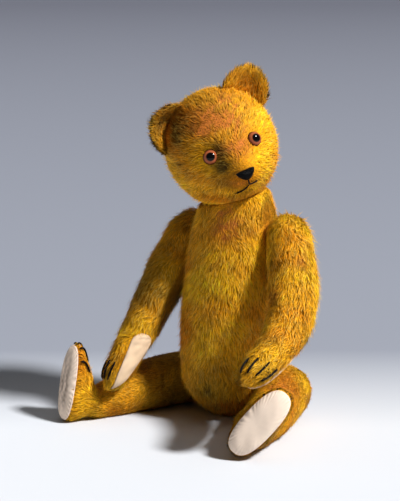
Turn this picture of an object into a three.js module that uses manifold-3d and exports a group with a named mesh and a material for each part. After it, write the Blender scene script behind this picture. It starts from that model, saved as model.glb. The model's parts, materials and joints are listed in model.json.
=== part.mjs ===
// A threadbare jointed teddy bear, sitting: stuffed mohair torso, head and limbs on five disc joints,
// cotton pads, glass eyes and black thread nose, mouth and claws.
// Millimetres and degrees, +Z up. The bear faces -Y, its left is +X, and the floor is z = 0.
import * as THREE from 'three';
import { mergeVertices } from 'three/addons/utils/BufferGeometryUtils.js';
import Module from 'manifold-3d';

// Clearances and cloth
const GAP = 0.35; // between pieces that touch or turn against each other
const CLOTH = 1.6; // mohair skin over a joint disc

// Torso: height, half width, half depth, centre x, centre y
const TORSO_STATIONS = [
  [0, 32, 30, 0, 5],
  [16, 36.5, 35.5, 0, 3],
  [40, 39.5, 39.5, 0, -1],
  [70, 40, 40.5, 0.5, -2.5],
  [102, 39.5, 39.5, 1, -1],
  [132, 38.5, 37, 2, 1.5],
  [160, 37, 33.5, 3, 4],
  [180, 33.5, 30, 3.5, 5],
  [194, 29, 26.5, 4, 5],
  [208, 24, 22, 4, 5],
];
const TORSO_BASE_ROUNDING = 41; // height over which the seat rounds in
const TORSO_BASE_SUNK = 5; // how much of that rounding the seat has flattened away

// Limbs: distance along, offset across, half height, half thickness, offset outwards
const LEG_STATIONS = [
  [-34, 0, 19, 17, 0],
  [-12, 0, 23, 21.5, 0],
  [20, 0, 23.5, 21.5, 0.5],
  [50, -3, 21, 20, 1],
  [72, -7, 17, 17.5, 0.5],
  [86, -8, 15, 16.5, 0],
  [96, 3, 23.5, 17, 0],
  [105, 10.5, 33, 16.6, 0],
  [112, 12, 35, 15.6, 0],
];
const ARM_STATIONS = [
  [-24, 0, 18, 15, 0],
  [0, 0, 21.5, 19, 0],
  [32, 0, 23, 20, 1],
  [66, 0, 20.5, 18.2, 1],
  [98, 1, 17, 15.6, 0.5],
  [128, 3.5, 14.6, 13, 0],
  [152, 5.5, 11.4, 10.2, 0],
];
const LEG_CAP = 28; // rounding of the hip end
const ARM_CAP = 22; // rounding of the shoulder end
const PAW_CAP = 16; // rounding of the paw's tip
const FOOT_CAP = 4; // rounding of the foot's edge at the sole
const SOLE_EDGE = 0.94; // the sole's size against the foot's
const SOLE_DOME = 5; // how far the sole bulges
const SOLE_STEPS = [0, 0.3, 0.55, 0.78, 0.93]; // rings of the dome, from its edge to near its middle
const SOLE_FULLNESS = 0.6; // below 1 the dome keeps its width nearer its top
const TWIST_FROM = 15; // a leg twists between these distances along it
const TWIST_TO = 95;
const TOES_FROM = 78; // from here a foot's toes lie back
const PALM_FROM = 101; // where the palm pad starts along the arm
const PALM_TIP = 0.55; // where it ends, as a share of the tip's half height

// Where each limb hangs: its centre line at the joint, its raise forwards, lean and turn outwards,
// bend backwards, bow outwards, twist, slope of the toes and girth, then its disc joint's centre and its
// axis's lean and turn
const LIMBS = {
  arm_left: {
    side: 1, at: [53.2, 8, 157], raise: 49, lean: 16.5, turn: 0, bend: 18, bow: 8, twist: 0, toes: 0, girth: 1,
    joint: { at: [38.2, 5.5, 153.7], lean: 8, turn: 0 },
  },
  arm_right: {
    side: -1, at: [-45.5, 6, 151.5], raise: 33.5, lean: 11.5, turn: 0, bend: 0, bow: 0, twist: 0, toes: 0, girth: 0.91,
    joint: { at: [-31, 5, 150.5], lean: 11.5, turn: 0 },
  },
  leg_left: {
    side: 1, at: [51, 6, 23], raise: 90.2, lean: -12, turn: 15.5, bend: 0, bow: 0, twist: 28, toes: 0.08, girth: 1,
    joint: { at: [32, 6.5, 26], lean: -8, turn: 6 },
  },
  leg_right: {
    side: -1, at: [-51.5, 4, 22], raise: 90, lean: -8, turn: 28, bend: 0, bow: 0, twist: -6, toes: 0.2, girth: 0.96,
    joint: { at: [-31.3, 10, 25.5], lean: -5, turn: 12 },
  },
};
const PALM_ROLL = { arm_left: 0, arm_right: 115 }; // palm turned inwards about the arm

// Head: centre, its turn to its left, loll towards its right and nod
const HEAD_AT = [-3.5, -8, 234.5];
const HEAD_TURN = 47;
const HEAD_LOLL = -20;
const HEAD_NOD = -2.5;
const HEAD_RADII = [46.5, 45, 50];
const MUZZLE_DIRECTION = [0, -1, -0.32];
const MUZZLE_LENGTH = 15;
const MUZZLE_SPREAD = 0.085;
const NECK_AXIS = [-0.19, -0.16, 0.97];
const NECK_DROP = 44; // head centre to the neck's plane

// Face, in the head's own frame
const EYE_AT = [20, 4.5]; // sideways and up
const EYE_RADII = [5.8, 4.2, 5.8];
const EYE_SUNK = 0.9;
const EYE_WIRE_RADIUS = 0.6;
const EYE_WIRE_LENGTH = 16;
const NOSE_AT = [0, -16.5];
const NOSE_RADII = [8.2, 2.6, 4.9];
const NOSE_TAPER = 0.28;
const MOUTH_TOP = -21.5;
const MOUTH_FORK = -26;
const MOUTH_CORNER = [11, -31];
const MOUTH_SAG = 1; // how far each branch hangs below a straight line
const MOUTH_SAG_AT = 0.55; // where it hangs lowest, as a share of the way out
const THREAD_RADIUS = 0.75;
const EAR_RADII = [20.5, 4, 24];
const EAR_CUP = 9; // how far the rim stands forward of the middle at the sides
const EAR_CUP_TOP = 0.3; // how much of that it does at the top
const EARS = {
  ear_left: { side: 1, fromTop: 43, back: 4, fold: 6 }, // degrees from the crown, set back, folded forwards
  ear_right: { side: -1, fromTop: 48, back: 8, fold: 42 },
};

// Claws: where they start and end along the limb, and their places round it
const PAW_CLAW_ALONG = [129, 146];
const PAW_CLAW_ANGLES = [8, 36, 66, 94];
const FOOT_CLAW_ALONG = [100, 111];
const FOOT_CLAW_ANGLES = [68, 94, 120, 146];
const CLAW_LIFT = 0.5; // height of the pressed pile under a claw
const CLAW_STEPS = [0, 0.35, 0.7, 1]; // places along a claw that lie on the skin

// Joint hardware: disc radius for each kind of joint, then sizes shared by all
const DISC_RADIUS = { neck: 18, shoulder: 9.5, hip: 11 };
const DISC_THICKNESS = 3;
const WASHER_RADIUS = 5.5;
const WASHER_THICKNESS = 1;
const PIN_RADIUS = 1.4;
const PIN_EYE_RADIUS = 2.4;
const PIN_WIRE_RADIUS = 0.9;
const PIN_FORK = 1.6; // washer to where the legs part
const PIN_CURL = 190; // how far each leg curls back
const PIN_POCKET_RADIUS = 7.2;
const PIN_POCKET_DEPTH = 15.5;

// Facets
const TORSO_RINGS = 20;
const TORSO_SIDES = 28;
const HEAD_RINGS = 20;
const HEAD_SIDES = 32;
const LIMB_RINGS = 18;
const LIMB_SIDES = 20;
const ROUND_SIDES = 14;
const BALL_RINGS = 8;
const WASHER_SIDES = 10;
const THREAD_SIDES = 5;
const CLAW_FACETS = 5;
const SMILE_FACETS = 10;
const SHORT_THREAD_FACETS = 3;
const PIN_SIDES = 8;
const PIN_CURL_FACETS = 5;

const wasm = await Module();
wasm.setup();

const MATERIALS = {
  mohair: new THREE.MeshStandardMaterial({ color: 0xb98a2e, roughness: 0.9 }),
  cotton: new THREE.MeshStandardMaterial({ color: 0xd9c2a4, roughness: 0.85 }),
  glass: new THREE.MeshStandardMaterial({ color: 0x8a4a1c, roughness: 0.1 }),
  thread: new THREE.MeshStandardMaterial({ color: 0x171310, roughness: 0.7 }),
  hardboard: new THREE.MeshStandardMaterial({ color: 0x6b4a2c, roughness: 0.8 }),
  steel: new THREE.MeshStandardMaterial({ color: 0x8b8d90, roughness: 0.4, metalness: 1 }),
};

const rad = THREE.MathUtils.degToRad;
const clamp = THREE.MathUtils.clamp;
const smoothstep = THREE.MathUtils.smoothstep;

// A row of a station table at t from 0 to 1, on a Catmull-Rom curve through its rows
function stationAt(rows, t) {
  const spans = rows.length - 1;
  const x = clamp(t, 0, 1) * spans;
  const i = Math.min(Math.floor(x), spans - 1);
  const f = x - i;
  const mirror = (a, b) => a.map((value, k) => 2 * value - b[k]);
  const before = i > 0 ? rows[i - 1] : mirror(rows[0], rows[1]);
  const after = i + 2 <= spans ? rows[i + 2] : mirror(rows[spans], rows[spans - 1]);
  return rows[i].map((b, k) => {
    const [a, c, d] = [before[k], rows[i + 1][k], after[k]];
    const square = 2 * a - 5 * b + 4 * c - d;
    const cube = 3 * b - a - 3 * c + d;
    return 0.5 * (2 * b + (c - a) * f + square * f * f + cube * f * f * f);
  });
}

// The t at which a station table's first column reaches a value
function stationOf(rows, value) {
  let low = 0;
  let high = 1;
  for (let step = 0; step < 40; step += 1) {
    const middle = (low + high) / 2;
    if (stationAt(rows, middle)[0] < value) low = middle;
    else high = middle;
  }
  return low;
}

// Steps from 0 to 1, closer together at both ends
function easedSteps(count) {
  return Array.from({ length: count }, (_, i) => 0.5 - 0.5 * Math.cos((Math.PI * i) / (count - 1)));
}

// A closed skin over rings of points, with the middle of the first and last ring as end points
function loft(rings) {
  const sides = rings[0].length;
  const middle = (ring) => ring.reduce((sum, p) => sum.add(p), new THREE.Vector3()).divideScalar(sides);
  const points = [...rings.flat(), middle(rings[0]), middle(rings.at(-1))];
  const firstEnd = points.length - 2;
  const lastEnd = points.length - 1;
  const lastRing = (rings.length - 1) * sides;
  const index = [];
  for (let j = 0; j < sides; j += 1) {
    const k = (j + 1) % sides;
    for (let i = 0; i < rings.length - 1; i += 1) {
      const [low, high] = [i * sides, (i + 1) * sides];
      index.push(low + j, low + k, high + k, low + j, high + k, high + j);
    }
    index.push(firstEnd, k, j, lastEnd, lastRing + j, lastRing + k);
  }
  const geometry = new THREE.BufferGeometry().setFromPoints(points);
  geometry.setIndex(index);
  return geometry;
}

function signedVolume(positions, index) {
  const [a, b, c] = [new THREE.Vector3(), new THREE.Vector3(), new THREE.Vector3()];
  let volume = 0;
  for (let i = 0; i < index.length; i += 3) {
    a.fromArray(positions, index[i] * 3);
    b.fromArray(positions, index[i + 1] * 3);
    c.fromArray(positions, index[i + 2] * 3);
    volume += a.dot(b.cross(c)) / 6;
  }
  return volume;
}

// A solid from closed geometry, turned the right way out whichever side it was made for
function solidOf(geometry) {
  const plain = geometry.clone();
  plain.deleteAttribute('normal');
  plain.deleteAttribute('uv');
  const merged = mergeVertices(plain, 1e-4);
  const positions = Float32Array.from(merged.attributes.position.array);
  const triangles = Uint32Array.from(merged.index.array);
  if (signedVolume(positions, triangles) < 0) triangles.reverse();
  return new wasm.Manifold(new wasm.Mesh({ numProp: 3, vertProperties: positions, triVerts: triangles }));
}

function meshOf(solid, name, material) {
  const { vertProperties, triVerts } = solid.getMesh();
  const geometry = new THREE.BufferGeometry();
  geometry.setAttribute('position', new THREE.BufferAttribute(Float32Array.from(vertProperties), 3));
  geometry.setIndex(new THREE.BufferAttribute(Uint32Array.from(triVerts), 1));
  geometry.computeVertexNormals();
  const mesh = new THREE.Mesh(geometry, material);
  mesh.name = name;
  return mesh;
}

// Keeps what lies on the side of a plane that the normal points to, in the frame of a group
function keepAbove(solid, point, normal, group) {
  const matrix = group ? group.matrixWorld.clone().invert() : new THREE.Matrix4();
  const at = point.clone().applyMatrix4(matrix);
  const towards = normal.clone().transformDirection(matrix);
  return solid.trimByPlane(towards.toArray(), at.dot(towards));
}

// A round-section thread along a smooth path
function thread(points, radius, steps) {
  const section = new THREE.Shape();
  for (let i = 0; i < THREAD_SIDES; i += 1) {
    const angle = (2 * Math.PI * i) / THREAD_SIDES;
    const [x, y] = [radius * Math.cos(angle), radius * Math.sin(angle)];
    if (i === 0) section.moveTo(x, y);
    else section.lineTo(x, y);
  }
  section.closePath();
  const extrudePath = new THREE.CatmullRomCurve3(points);
  return solidOf(new THREE.ExtrudeGeometry(section, { steps, extrudePath, curveSegments: 1 }));
}

// Turns a profile of radius and height about +Y into a solid
function turned(profile, sides = ROUND_SIDES) {
  return solidOf(new THREE.LatheGeometry(profile.map(([r, h]) => new THREE.Vector2(r, h)), sides));
}

function transformed(solid, matrix) {
  return solid.transform(matrix.toArray());
}

// Torso

// Ellipses stacked along the height, drawn in towards the seat by a quarter-round
function torsoSolid() {
  const rings = easedSteps(TORSO_RINGS).map((t) => {
    const [z, halfWidth, halfDepth, centreX, centreY] = stationAt(TORSO_STATIONS, t);
    const short = 1 - Math.min((z + TORSO_BASE_SUNK) / TORSO_BASE_ROUNDING, 1);
    const drawn = Math.sqrt(1 - short * short);
    return Array.from({ length: TORSO_SIDES }, (_, i) => {
      const angle = (2 * Math.PI * i) / TORSO_SIDES;
      const x = centreX + halfWidth * drawn * Math.cos(angle);
      return new THREE.Vector3(x, centreY + halfDepth * drawn * Math.sin(angle), z);
    });
  });
  return solidOf(loft(rings));
}

// Limbs, each in its own frame: hanging along -Z, forwards is -Y, outwards is side * X

function limbGroup({ side, at, raise, lean, turn }) {
  const group = new THREE.Group();
  group.position.fromArray(at);
  group.rotation.set(rad(-raise), rad(-side * lean), rad(side * turn), 'ZYX');
  group.updateMatrixWorld(true);
  return group;
}

// A point at a distance along a limb and an angle round it: 90 degrees is its upper, forward edge
function limbPoint(limb, row, angle, size = 1) {
  const [along, across, halfHeight, halfThickness, outwards] = row;
  const length = limb.rows.at(-1)[0];
  const arc = Math.sin(Math.PI * clamp(along / length, 0, 1));
  const twist = rad(limb.twist) * smoothstep(along, TWIST_FROM, TWIST_TO);
  const girth = limb.girth * size;
  const up = across - limb.bend * arc + halfHeight * girth * Math.sin(angle);
  const out = outwards + limb.bow * arc + halfThickness * girth * Math.cos(angle);
  const x = up * Math.sin(twist) + out * Math.cos(twist);
  const y = up * Math.cos(twist) - out * Math.sin(twist);
  const laidBack = limb.toes * up * smoothstep(along, TOES_FROM, length);
  return new THREE.Vector3(limb.side * x, -y, laidBack - along);
}

function limbRing(limb, row, size) {
  return Array.from({ length: LIMB_SIDES }, (_, i) => limbPoint(limb, row, (2 * Math.PI * i) / LIMB_SIDES, size));
}

// How far a limb is drawn in at its ends: round at the joint, and round or nearly flat at the tip
function limbSize(limb, along) {
  const first = limb.rows[0][0];
  const last = limb.rows.at(-1)[0];
  const nearJoint = 1 - Math.min((along - first) / limb.cap, 1);
  const joint = Math.sqrt(Math.max(1 - nearJoint * nearJoint, 0));
  const nearTip = 1 - Math.min((last - along) / limb.tipCap, 1);
  const tip = limb.flatTip ? 1 - (1 - SOLE_EDGE) * nearTip ** 2 : Math.sqrt(Math.max(1 - nearTip ** 2, 0));
  return joint * tip;
}

function limbSolid(limb) {
  const steps = easedSteps(LIMB_RINGS).slice(1, limb.flatTip ? undefined : -1);
  const rings = steps.map((t) => {
    const row = stationAt(limb.rows, t);
    return limbRing(limb, row, limbSize(limb, row[0]));
  });
  return solidOf(loft(rings));
}

// Half of a flattened dome over the foot's end
function soleSolid(limb) {
  const end = limb.rows.at(-1);
  const rings = SOLE_STEPS.map((t) => {
    const rise = GAP + SOLE_DOME * Math.sin((t * Math.PI) / 2);
    const size = SOLE_EDGE * Math.cos((t * Math.PI) / 2) ** SOLE_FULLNESS;
    return limbRing(limb, end, size).map((p) => p.setZ(p.z - rise));
  });
  return solidOf(loft(rings));
}

// One black stitch laid along a limb's surface
function clawSolid(limb, [from, to], degrees) {
  const points = CLAW_STEPS.map((t) => {
    const row = stationAt(limb.rows, stationOf(limb.rows, from + (to - from) * t));
    const size = limbSize(limb, row[0]);
    const surface = limbPoint(limb, row, rad(degrees), size);
    const middle = limbPoint(limb, row, rad(degrees), 0);
    const lift = surface.clone().sub(middle).normalize();
    return surface.addScaledVector(lift, THREAD_RADIUS + GAP + CLAW_LIFT);
  });
  return thread(points, THREAD_RADIUS, CLAW_FACETS);
}

// The plane that parts the palm pad from the paw, from the wrist's underside to just below the tip
function palmPlane(limb, name) {
  const angle = rad(270 - PALM_ROLL[name]);
  const at = (along, size) => limbPoint(limb, stationAt(limb.rows, stationOf(limb.rows, along)), angle, size);
  const wrist = at(PALM_FROM, 1);
  const line = at(limb.rows.at(-1)[0], PALM_TIP).sub(wrist).normalize();
  const facing = wrist.clone().sub(at(PALM_FROM, 0));
  facing.addScaledVector(line, -facing.dot(line)).normalize();
  return { wrist, facing };
}

// Head, in its own frame: the face is -Y, its left is +X

const muzzle = new THREE.Vector3(...MUZZLE_DIRECTION).normalize();

// Distance from the head's centre to its skin: an ellipsoid with the muzzle as a smooth rise
function headRadius(direction) {
  const [x, y, z] = direction.toArray().map((value, k) => value / HEAD_RADII[k]);
  const rise = MUZZLE_LENGTH * Math.exp(-(1 - direction.dot(muzzle)) / MUZZLE_SPREAD);
  return 1 / Math.hypot(x, y, z) + rise;
}

function headSolid(grow = 0) {
  const steps = Array.from({ length: HEAD_RINGS }, (_, i) => (Math.PI * (i + 0.5)) / HEAD_RINGS);
  const rings = steps.map((polar) =>
    Array.from({ length: HEAD_SIDES }, (_, i) => {
      const angle = (2 * Math.PI * i) / HEAD_SIDES;
      const round = Math.sin(polar);
      const direction = new THREE.Vector3(round * Math.sin(angle), -round * Math.cos(angle), Math.cos(polar));
      return direction.clone().multiplyScalar(headRadius(direction) + grow);
    }),
  );
  return solidOf(loft(rings));
}

// The point of the face at a place sideways and up, lifted off the skin
function facePoint(x, z, lift = 0) {
  const point = new THREE.Vector3(x, -HEAD_RADII[1], z);
  for (let step = 0; step < 30; step += 1) {
    const reach = headRadius(point.clone().normalize());
    point.y = -Math.sqrt(Math.max(reach * reach - x * x - z * z, 1));
  }
  return point.addScaledVector(point.clone().normalize(), lift);
}

// A ball squeezed to three radii, with its +Y turned to face a direction
function ovalSolid(radii, at, facing, reshape = (p) => p) {
  const geometry = new THREE.SphereGeometry(1, ROUND_SIDES, BALL_RINGS);
  const position = geometry.attributes.position;
  const turn = new THREE.Quaternion().setFromUnitVectors(new THREE.Vector3(0, -1, 0), facing);
  const point = new THREE.Vector3();
  for (let i = 0; i < position.count; i += 1) {
    point.fromBufferAttribute(position, i);
    reshape(point);
    point.multiply(new THREE.Vector3(...radii)).applyQuaternion(turn).add(at);
    position.setXYZ(i, ...point);
  }
  return solidOf(geometry);
}

function eyePlace(side) {
  const surface = facePoint(side * EYE_AT[0], EYE_AT[1]);
  const facing = surface.clone().normalize();
  return { at: surface.addScaledVector(facing, -EYE_SUNK), facing };
}

function eyeSolid(side, grow = 0) {
  const { at, facing } = eyePlace(side);
  return ovalSolid(EYE_RADII.map((r) => r + grow), at, facing);
}

function eyeWireSolid(side, grow = 0) {
  const { at, facing } = eyePlace(side);
  const inwards = facing.clone().negate();
  const start = at.clone().addScaledVector(inwards, EYE_RADII[1] + GAP - 2 * grow);
  const end = at.clone().addScaledVector(inwards, EYE_RADII[1] + EYE_WIRE_LENGTH + grow);
  return thread([start, start.clone().lerp(end, 0.5), end], EYE_WIRE_RADIUS + grow, SHORT_THREAD_FACETS);
}

// A low pad of stitches, wider at its top than at its point
function noseSolid() {
  const at = facePoint(...NOSE_AT);
  const taper = (p) => {
    p.x *= 1 - NOSE_TAPER + NOSE_TAPER * p.z;
  };
  return ovalSolid(NOSE_RADII, at, new THREE.Vector3(0, -1, 0), taper).subtract(headSolid(GAP));
}

function mouthSolid() {
  const lift = THREAD_RADIUS + GAP;
  const [cornerX, cornerZ] = MOUTH_CORNER;
  const sagZ = (cornerZ + MOUTH_FORK) / 2 - MOUTH_SAG;
  const places = [
    [-cornerX, cornerZ],
    [-cornerX * MOUTH_SAG_AT, sagZ],
    [0, MOUTH_FORK],
    [cornerX * MOUTH_SAG_AT, sagZ],
    [cornerX, cornerZ],
  ];
  const smile = thread(places.map(([x, z]) => facePoint(x, z, lift)), THREAD_RADIUS, SMILE_FACETS);
  const upright = [MOUTH_TOP, (MOUTH_TOP + MOUTH_FORK) / 2, MOUTH_FORK].map((z) => facePoint(0, z, lift));
  return smile.add(thread(upright, THREAD_RADIUS, SHORT_THREAD_FACETS));
}

// A round flap, cupped forwards, standing on the head's side and folded about its root
function earSolid({ side, fromTop, back, fold }) {
  const out = new THREE.Vector3(side * Math.sin(rad(fromTop)), 0, Math.cos(rad(fromTop)));
  const at = out.clone().multiplyScalar(headRadius(out)).setY(back);
  const forwards = new THREE.Vector3(0, 1, 0);
  const frame = new THREE.Matrix4().makeBasis(forwards.clone().cross(out), forwards, out).setPosition(at);
  frame.multiply(new THREE.Matrix4().makeRotationX(rad(fold)));
  const flap = ovalSolid(EAR_RADII, new THREE.Vector3(), new THREE.Vector3(0, -1, 0), (p) => {
    p.y -= (EAR_CUP / EAR_RADII[1]) * (p.x * p.x + EAR_CUP_TOP * p.z * p.z);
  });
  return transformed(flap, frame).subtract(headSolid(GAP));
}

// Disc joints, each in a frame with the joint's plane at zero and +Y into the turning part

const HARDWARE_START = CLOTH + GAP;
const WASHER_START = HARDWARE_START + DISC_THICKNESS + GAP;
const PIN_HOLE = PIN_RADIUS + GAP;

// The room that one side of a joint takes up inside the stuffing
function pocketSolid(discRadius) {
  const discRoom = HARDWARE_START + DISC_THICKNESS + GAP / 2;
  return turned([
    [0, -1],
    [PIN_HOLE, -1],
    [PIN_HOLE, CLOTH],
    [discRadius + GAP, CLOTH],
    [discRadius + GAP, discRoom],
    [PIN_POCKET_RADIUS, discRoom],
    [PIN_POCKET_RADIUS, PIN_POCKET_DEPTH],
    [0, PIN_POCKET_DEPTH],
  ]);
}

function ringSolid(radius, from, thickness, sides) {
  const to = from + thickness;
  return turned([[PIN_HOLE, from], [radius, from], [radius, to], [PIN_HOLE, to], [PIN_HOLE, from]], sides);
}

// A split pin: straight shank, an eye at the turning end and two legs curled back at the torso end
function pinSolid() {
  const reach = WASHER_START + WASHER_THICKNESS + GAP;
  const eyeAt = reach + PIN_EYE_RADIUS + PIN_WIRE_RADIUS;
  const fork = reach + PIN_FORK;
  const top = reach + PIN_WIRE_RADIUS;
  const shank = turned([[0, -fork], [PIN_RADIUS, -fork], [PIN_RADIUS, top], [0, top]], PIN_SIDES);
  const eye = solidOf(new THREE.TorusGeometry(PIN_EYE_RADIUS, PIN_WIRE_RADIUS, THREAD_SIDES, WASHER_SIDES).translate(0, eyeAt, 0));
  const curl = (side) => {
    const points = Array.from({ length: PIN_CURL_FACETS + 1 }, (_, i) => {
      const angle = (i / PIN_CURL_FACETS) * rad(PIN_CURL);
      const x = PIN_EYE_RADIUS * (1 - Math.cos(angle));
      return new THREE.Vector3(side * x, -fork - PIN_EYE_RADIUS * Math.sin(angle), 0);
    });
    return thread(points, PIN_WIRE_RADIUS, PIN_CURL_FACETS);
  };
  return shank.add(eye).add(curl(1)).add(curl(-1));
}

// The frame of a joint: its centre, with +Y along its axis into the turning part
function jointFrame(at, axis) {
  const turn = new THREE.Quaternion().setFromUnitVectors(new THREE.Vector3(0, 1, 0), axis);
  return new THREE.Matrix4().compose(at, turn, new THREE.Vector3(1, 1, 1));
}

const FLIP = new THREE.Matrix4().makeRotationX(Math.PI);

// Assembly

const bear = new THREE.Group();
const floor = { at: new THREE.Vector3(), up: new THREE.Vector3(0, 0, 1) };
let torso = torsoSolid();

// Cuts the torso at a joint's plane, makes room on both sides and adds the joint's five pieces
function addJoint(name, kind, at, axis, turningSolid, group) {
  const frame = jointFrame(at, axis);
  const discRadius = DISC_RADIUS[kind];
  const pocket = pocketSolid(discRadius);
  const back = axis.clone().negate();
  torso = keepAbove(torso, at.clone().addScaledVector(back, GAP / 2), back);
  torso = torso.subtract(transformed(pocket, frame.clone().multiply(FLIP)));
  const toGroup = group.matrixWorld.clone().invert().multiply(frame);
  const turning = keepAbove(turningSolid, at.clone().addScaledVector(axis, GAP / 2), axis, group)
    .subtract(transformed(pocket, toGroup));

  const disc = ringSolid(discRadius, HARDWARE_START, DISC_THICKNESS, ROUND_SIDES);
  const washer = ringSolid(WASHER_RADIUS, WASHER_START, WASHER_THICKNESS, WASHER_SIDES);
  const place = (solid, piece, material, flipped) => {
    const mesh = meshOf(flipped ? transformed(solid, FLIP) : solid, `${name}_${piece}`, material);
    mesh.applyMatrix4(frame);
    bear.add(mesh);
  };
  place(disc, 'disc_torso_side', MATERIALS.hardboard, true);
  place(washer, 'washer_torso_side', MATERIALS.steel, true);
  place(pinSolid(), 'cotter_pin', MATERIALS.steel, false);
  place(disc, 'disc_turning_side', MATERIALS.hardboard, false);
  place(washer, 'washer_turning_side', MATERIALS.steel, false);
  return turning;
}

function addLimb(name) {
  const isArm = name.startsWith('arm');
  const end = name.split('_')[1];
  const limb = {
    ...LIMBS[name],
    rows: isArm ? ARM_STATIONS : LEG_STATIONS,
    cap: isArm ? ARM_CAP : LEG_CAP,
    tipCap: isArm ? PAW_CAP : FOOT_CAP,
    flatTip: !isArm,
  };
  const group = limbGroup(limb);
  const { at, lean, turn } = limb.joint;
  const axisTurn = new THREE.Euler(0, rad(-limb.side * lean), rad(limb.side * turn), 'ZYX');
  const axis = new THREE.Vector3(limb.side, 0, 0).applyEuler(axisTurn);
  const kind = isArm ? 'shoulder' : 'hip';
  let solid = addJoint(`${kind}_${end}`, kind, new THREE.Vector3(...at), axis, limbSolid(limb), group);
  solid = keepAbove(solid, floor.at, floor.up, group);

  if (isArm) {
    const { wrist, facing } = palmPlane(limb, name);
    const pad = keepAbove(solid, wrist.clone().addScaledVector(facing, GAP / 2), facing);
    const back = facing.clone().negate();
    solid = keepAbove(solid, wrist.clone().addScaledVector(back, GAP / 2), back);
    group.add(meshOf(pad, `paw_pad_${end}`, MATERIALS.cotton));
  } else {
    const sole = keepAbove(soleSolid(limb), floor.at, floor.up, group);
    group.add(meshOf(sole, `foot_pad_${end}`, MATERIALS.cotton));
  }
  group.add(meshOf(solid, name, MATERIALS.mohair));

  const angles = isArm ? PAW_CLAW_ANGLES : FOOT_CLAW_ANGLES;
  const span = isArm ? PAW_CLAW_ALONG : FOOT_CLAW_ALONG;
  angles.forEach((degrees, i) => {
    const claw = clawSolid(limb, span, degrees);
    group.add(meshOf(claw, `claw_${isArm ? 'paw' : 'foot'}_${end}_${i + 1}`, MATERIALS.thread));
  });
  bear.add(group);
}

function addHead() {
  const group = new THREE.Group();
  group.position.fromArray(HEAD_AT);
  group.rotation.set(rad(HEAD_NOD), rad(HEAD_LOLL), rad(HEAD_TURN), 'ZYX');
  group.updateMatrixWorld(true);
  const axis = new THREE.Vector3(...NECK_AXIS).normalize();
  const at = group.position.clone().addScaledVector(axis, -NECK_DROP);
  let head = addJoint('neck', 'neck', at, axis, headSolid(), group);
  for (const [end, side] of [['left', 1], ['right', -1]]) {
    head = head.subtract(eyeSolid(side, GAP)).subtract(eyeWireSolid(side, GAP));
    group.add(meshOf(eyeSolid(side), `eye_${end}`, MATERIALS.glass));
    group.add(meshOf(eyeWireSolid(side), `eye_wire_${end}`, MATERIALS.steel));
    group.add(meshOf(earSolid(EARS[`ear_${end}`]), `ear_${end}`, MATERIALS.mohair));
  }
  group.add(meshOf(head, 'head', MATERIALS.mohair));
  group.add(meshOf(noseSolid(), 'nose_stitching', MATERIALS.thread));
  group.add(meshOf(mouthSolid(), 'mouth_stitching', MATERIALS.thread));
  bear.add(group);
}

addHead();
Object.keys(LIMBS).forEach(addLimb);
bear.add(meshOf(torso, 'torso', MATERIALS.mohair));

export default bear;
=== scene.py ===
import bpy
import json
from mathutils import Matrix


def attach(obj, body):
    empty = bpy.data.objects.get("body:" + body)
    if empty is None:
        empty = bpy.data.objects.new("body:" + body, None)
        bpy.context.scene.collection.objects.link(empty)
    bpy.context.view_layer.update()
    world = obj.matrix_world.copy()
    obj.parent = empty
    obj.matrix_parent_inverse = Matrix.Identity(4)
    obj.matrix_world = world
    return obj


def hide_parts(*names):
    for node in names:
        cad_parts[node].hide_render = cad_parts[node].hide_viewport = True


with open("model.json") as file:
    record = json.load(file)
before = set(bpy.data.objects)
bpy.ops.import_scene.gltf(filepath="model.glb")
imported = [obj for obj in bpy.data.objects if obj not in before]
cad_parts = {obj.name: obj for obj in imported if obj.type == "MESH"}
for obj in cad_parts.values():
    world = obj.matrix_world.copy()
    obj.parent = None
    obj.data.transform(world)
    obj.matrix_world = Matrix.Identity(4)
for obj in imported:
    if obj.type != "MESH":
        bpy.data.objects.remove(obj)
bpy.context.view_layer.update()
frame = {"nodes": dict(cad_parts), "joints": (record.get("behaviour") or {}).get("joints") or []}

import json
import math

import bpy
import numpy as np
from bpy.props import FloatProperty, PointerProperty, StringProperty
from mathutils import Vector

bl_info = {
    "name": "Threadbare Teddy Bear",
    "version": (1, 0, 0),
    "blender": (4, 5, 0),
    "location": "View3D > Sidebar > Bear",
    "description": "Dresses a jointed bear in worn mohair, cotton pads, glass eyes and black thread",
    "category": "Add Mesh",
}

# Shapes, in millimetres and degrees. The bear faces -Y, its left is +X and the floor is z = 0.
MM = 0.001
SQUARE_CM = 100  # in square millimetres
GAP = 0.35  # between pieces that touch or turn against each other
PILE_DEPTH = 1.1  # the cloth lies this far inside the solids, which take in the lying pile
SKIN_RINGS = 96
SKIN_SIDES = 128

# Torso: height, half width, half depth, centre x, centre y
TORSO_STATIONS = (
    (0, 32, 30, 0, 5),
    (16, 36.5, 35.5, 0, 3),
    (40, 39.5, 39.5, 0, -1),
    (70, 40, 40.5, 0.5, -2.5),
    (102, 39.5, 39.5, 1, -1),
    (132, 38.5, 37, 2, 1.5),
    (160, 37, 33.5, 3, 4),
    (180, 33.5, 30, 3.5, 5),
    (194, 29, 26.5, 4, 5),
    (208, 24, 22, 4, 5),
)
TORSO_BASE_ROUNDING = 41
TORSO_BASE_SUNK = 5
TORSO_LUMPS = dict(depth=0.5, size=32, seed=11)
TORSO_BARE_BELOW = 0.3  # no pile grows on the seat
# Joints on the torso: the side they are on, and the radius that the other part covers
TORSO_JOINTS = (
    ("neck", 0, 21),
    ("shoulder_left", 1, 20),
    ("shoulder_right", -1, 18),
    ("hip_left", 1, 22),
    ("hip_right", -1, 22),
)
JOINT_FACE = 1  # skin this near to a joint's plane lies against the other part
WHOLE_FACE = 40  # wider than the face of a limb or of the head at its joint
FAR = 99.0  # room where no joint is near

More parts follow.
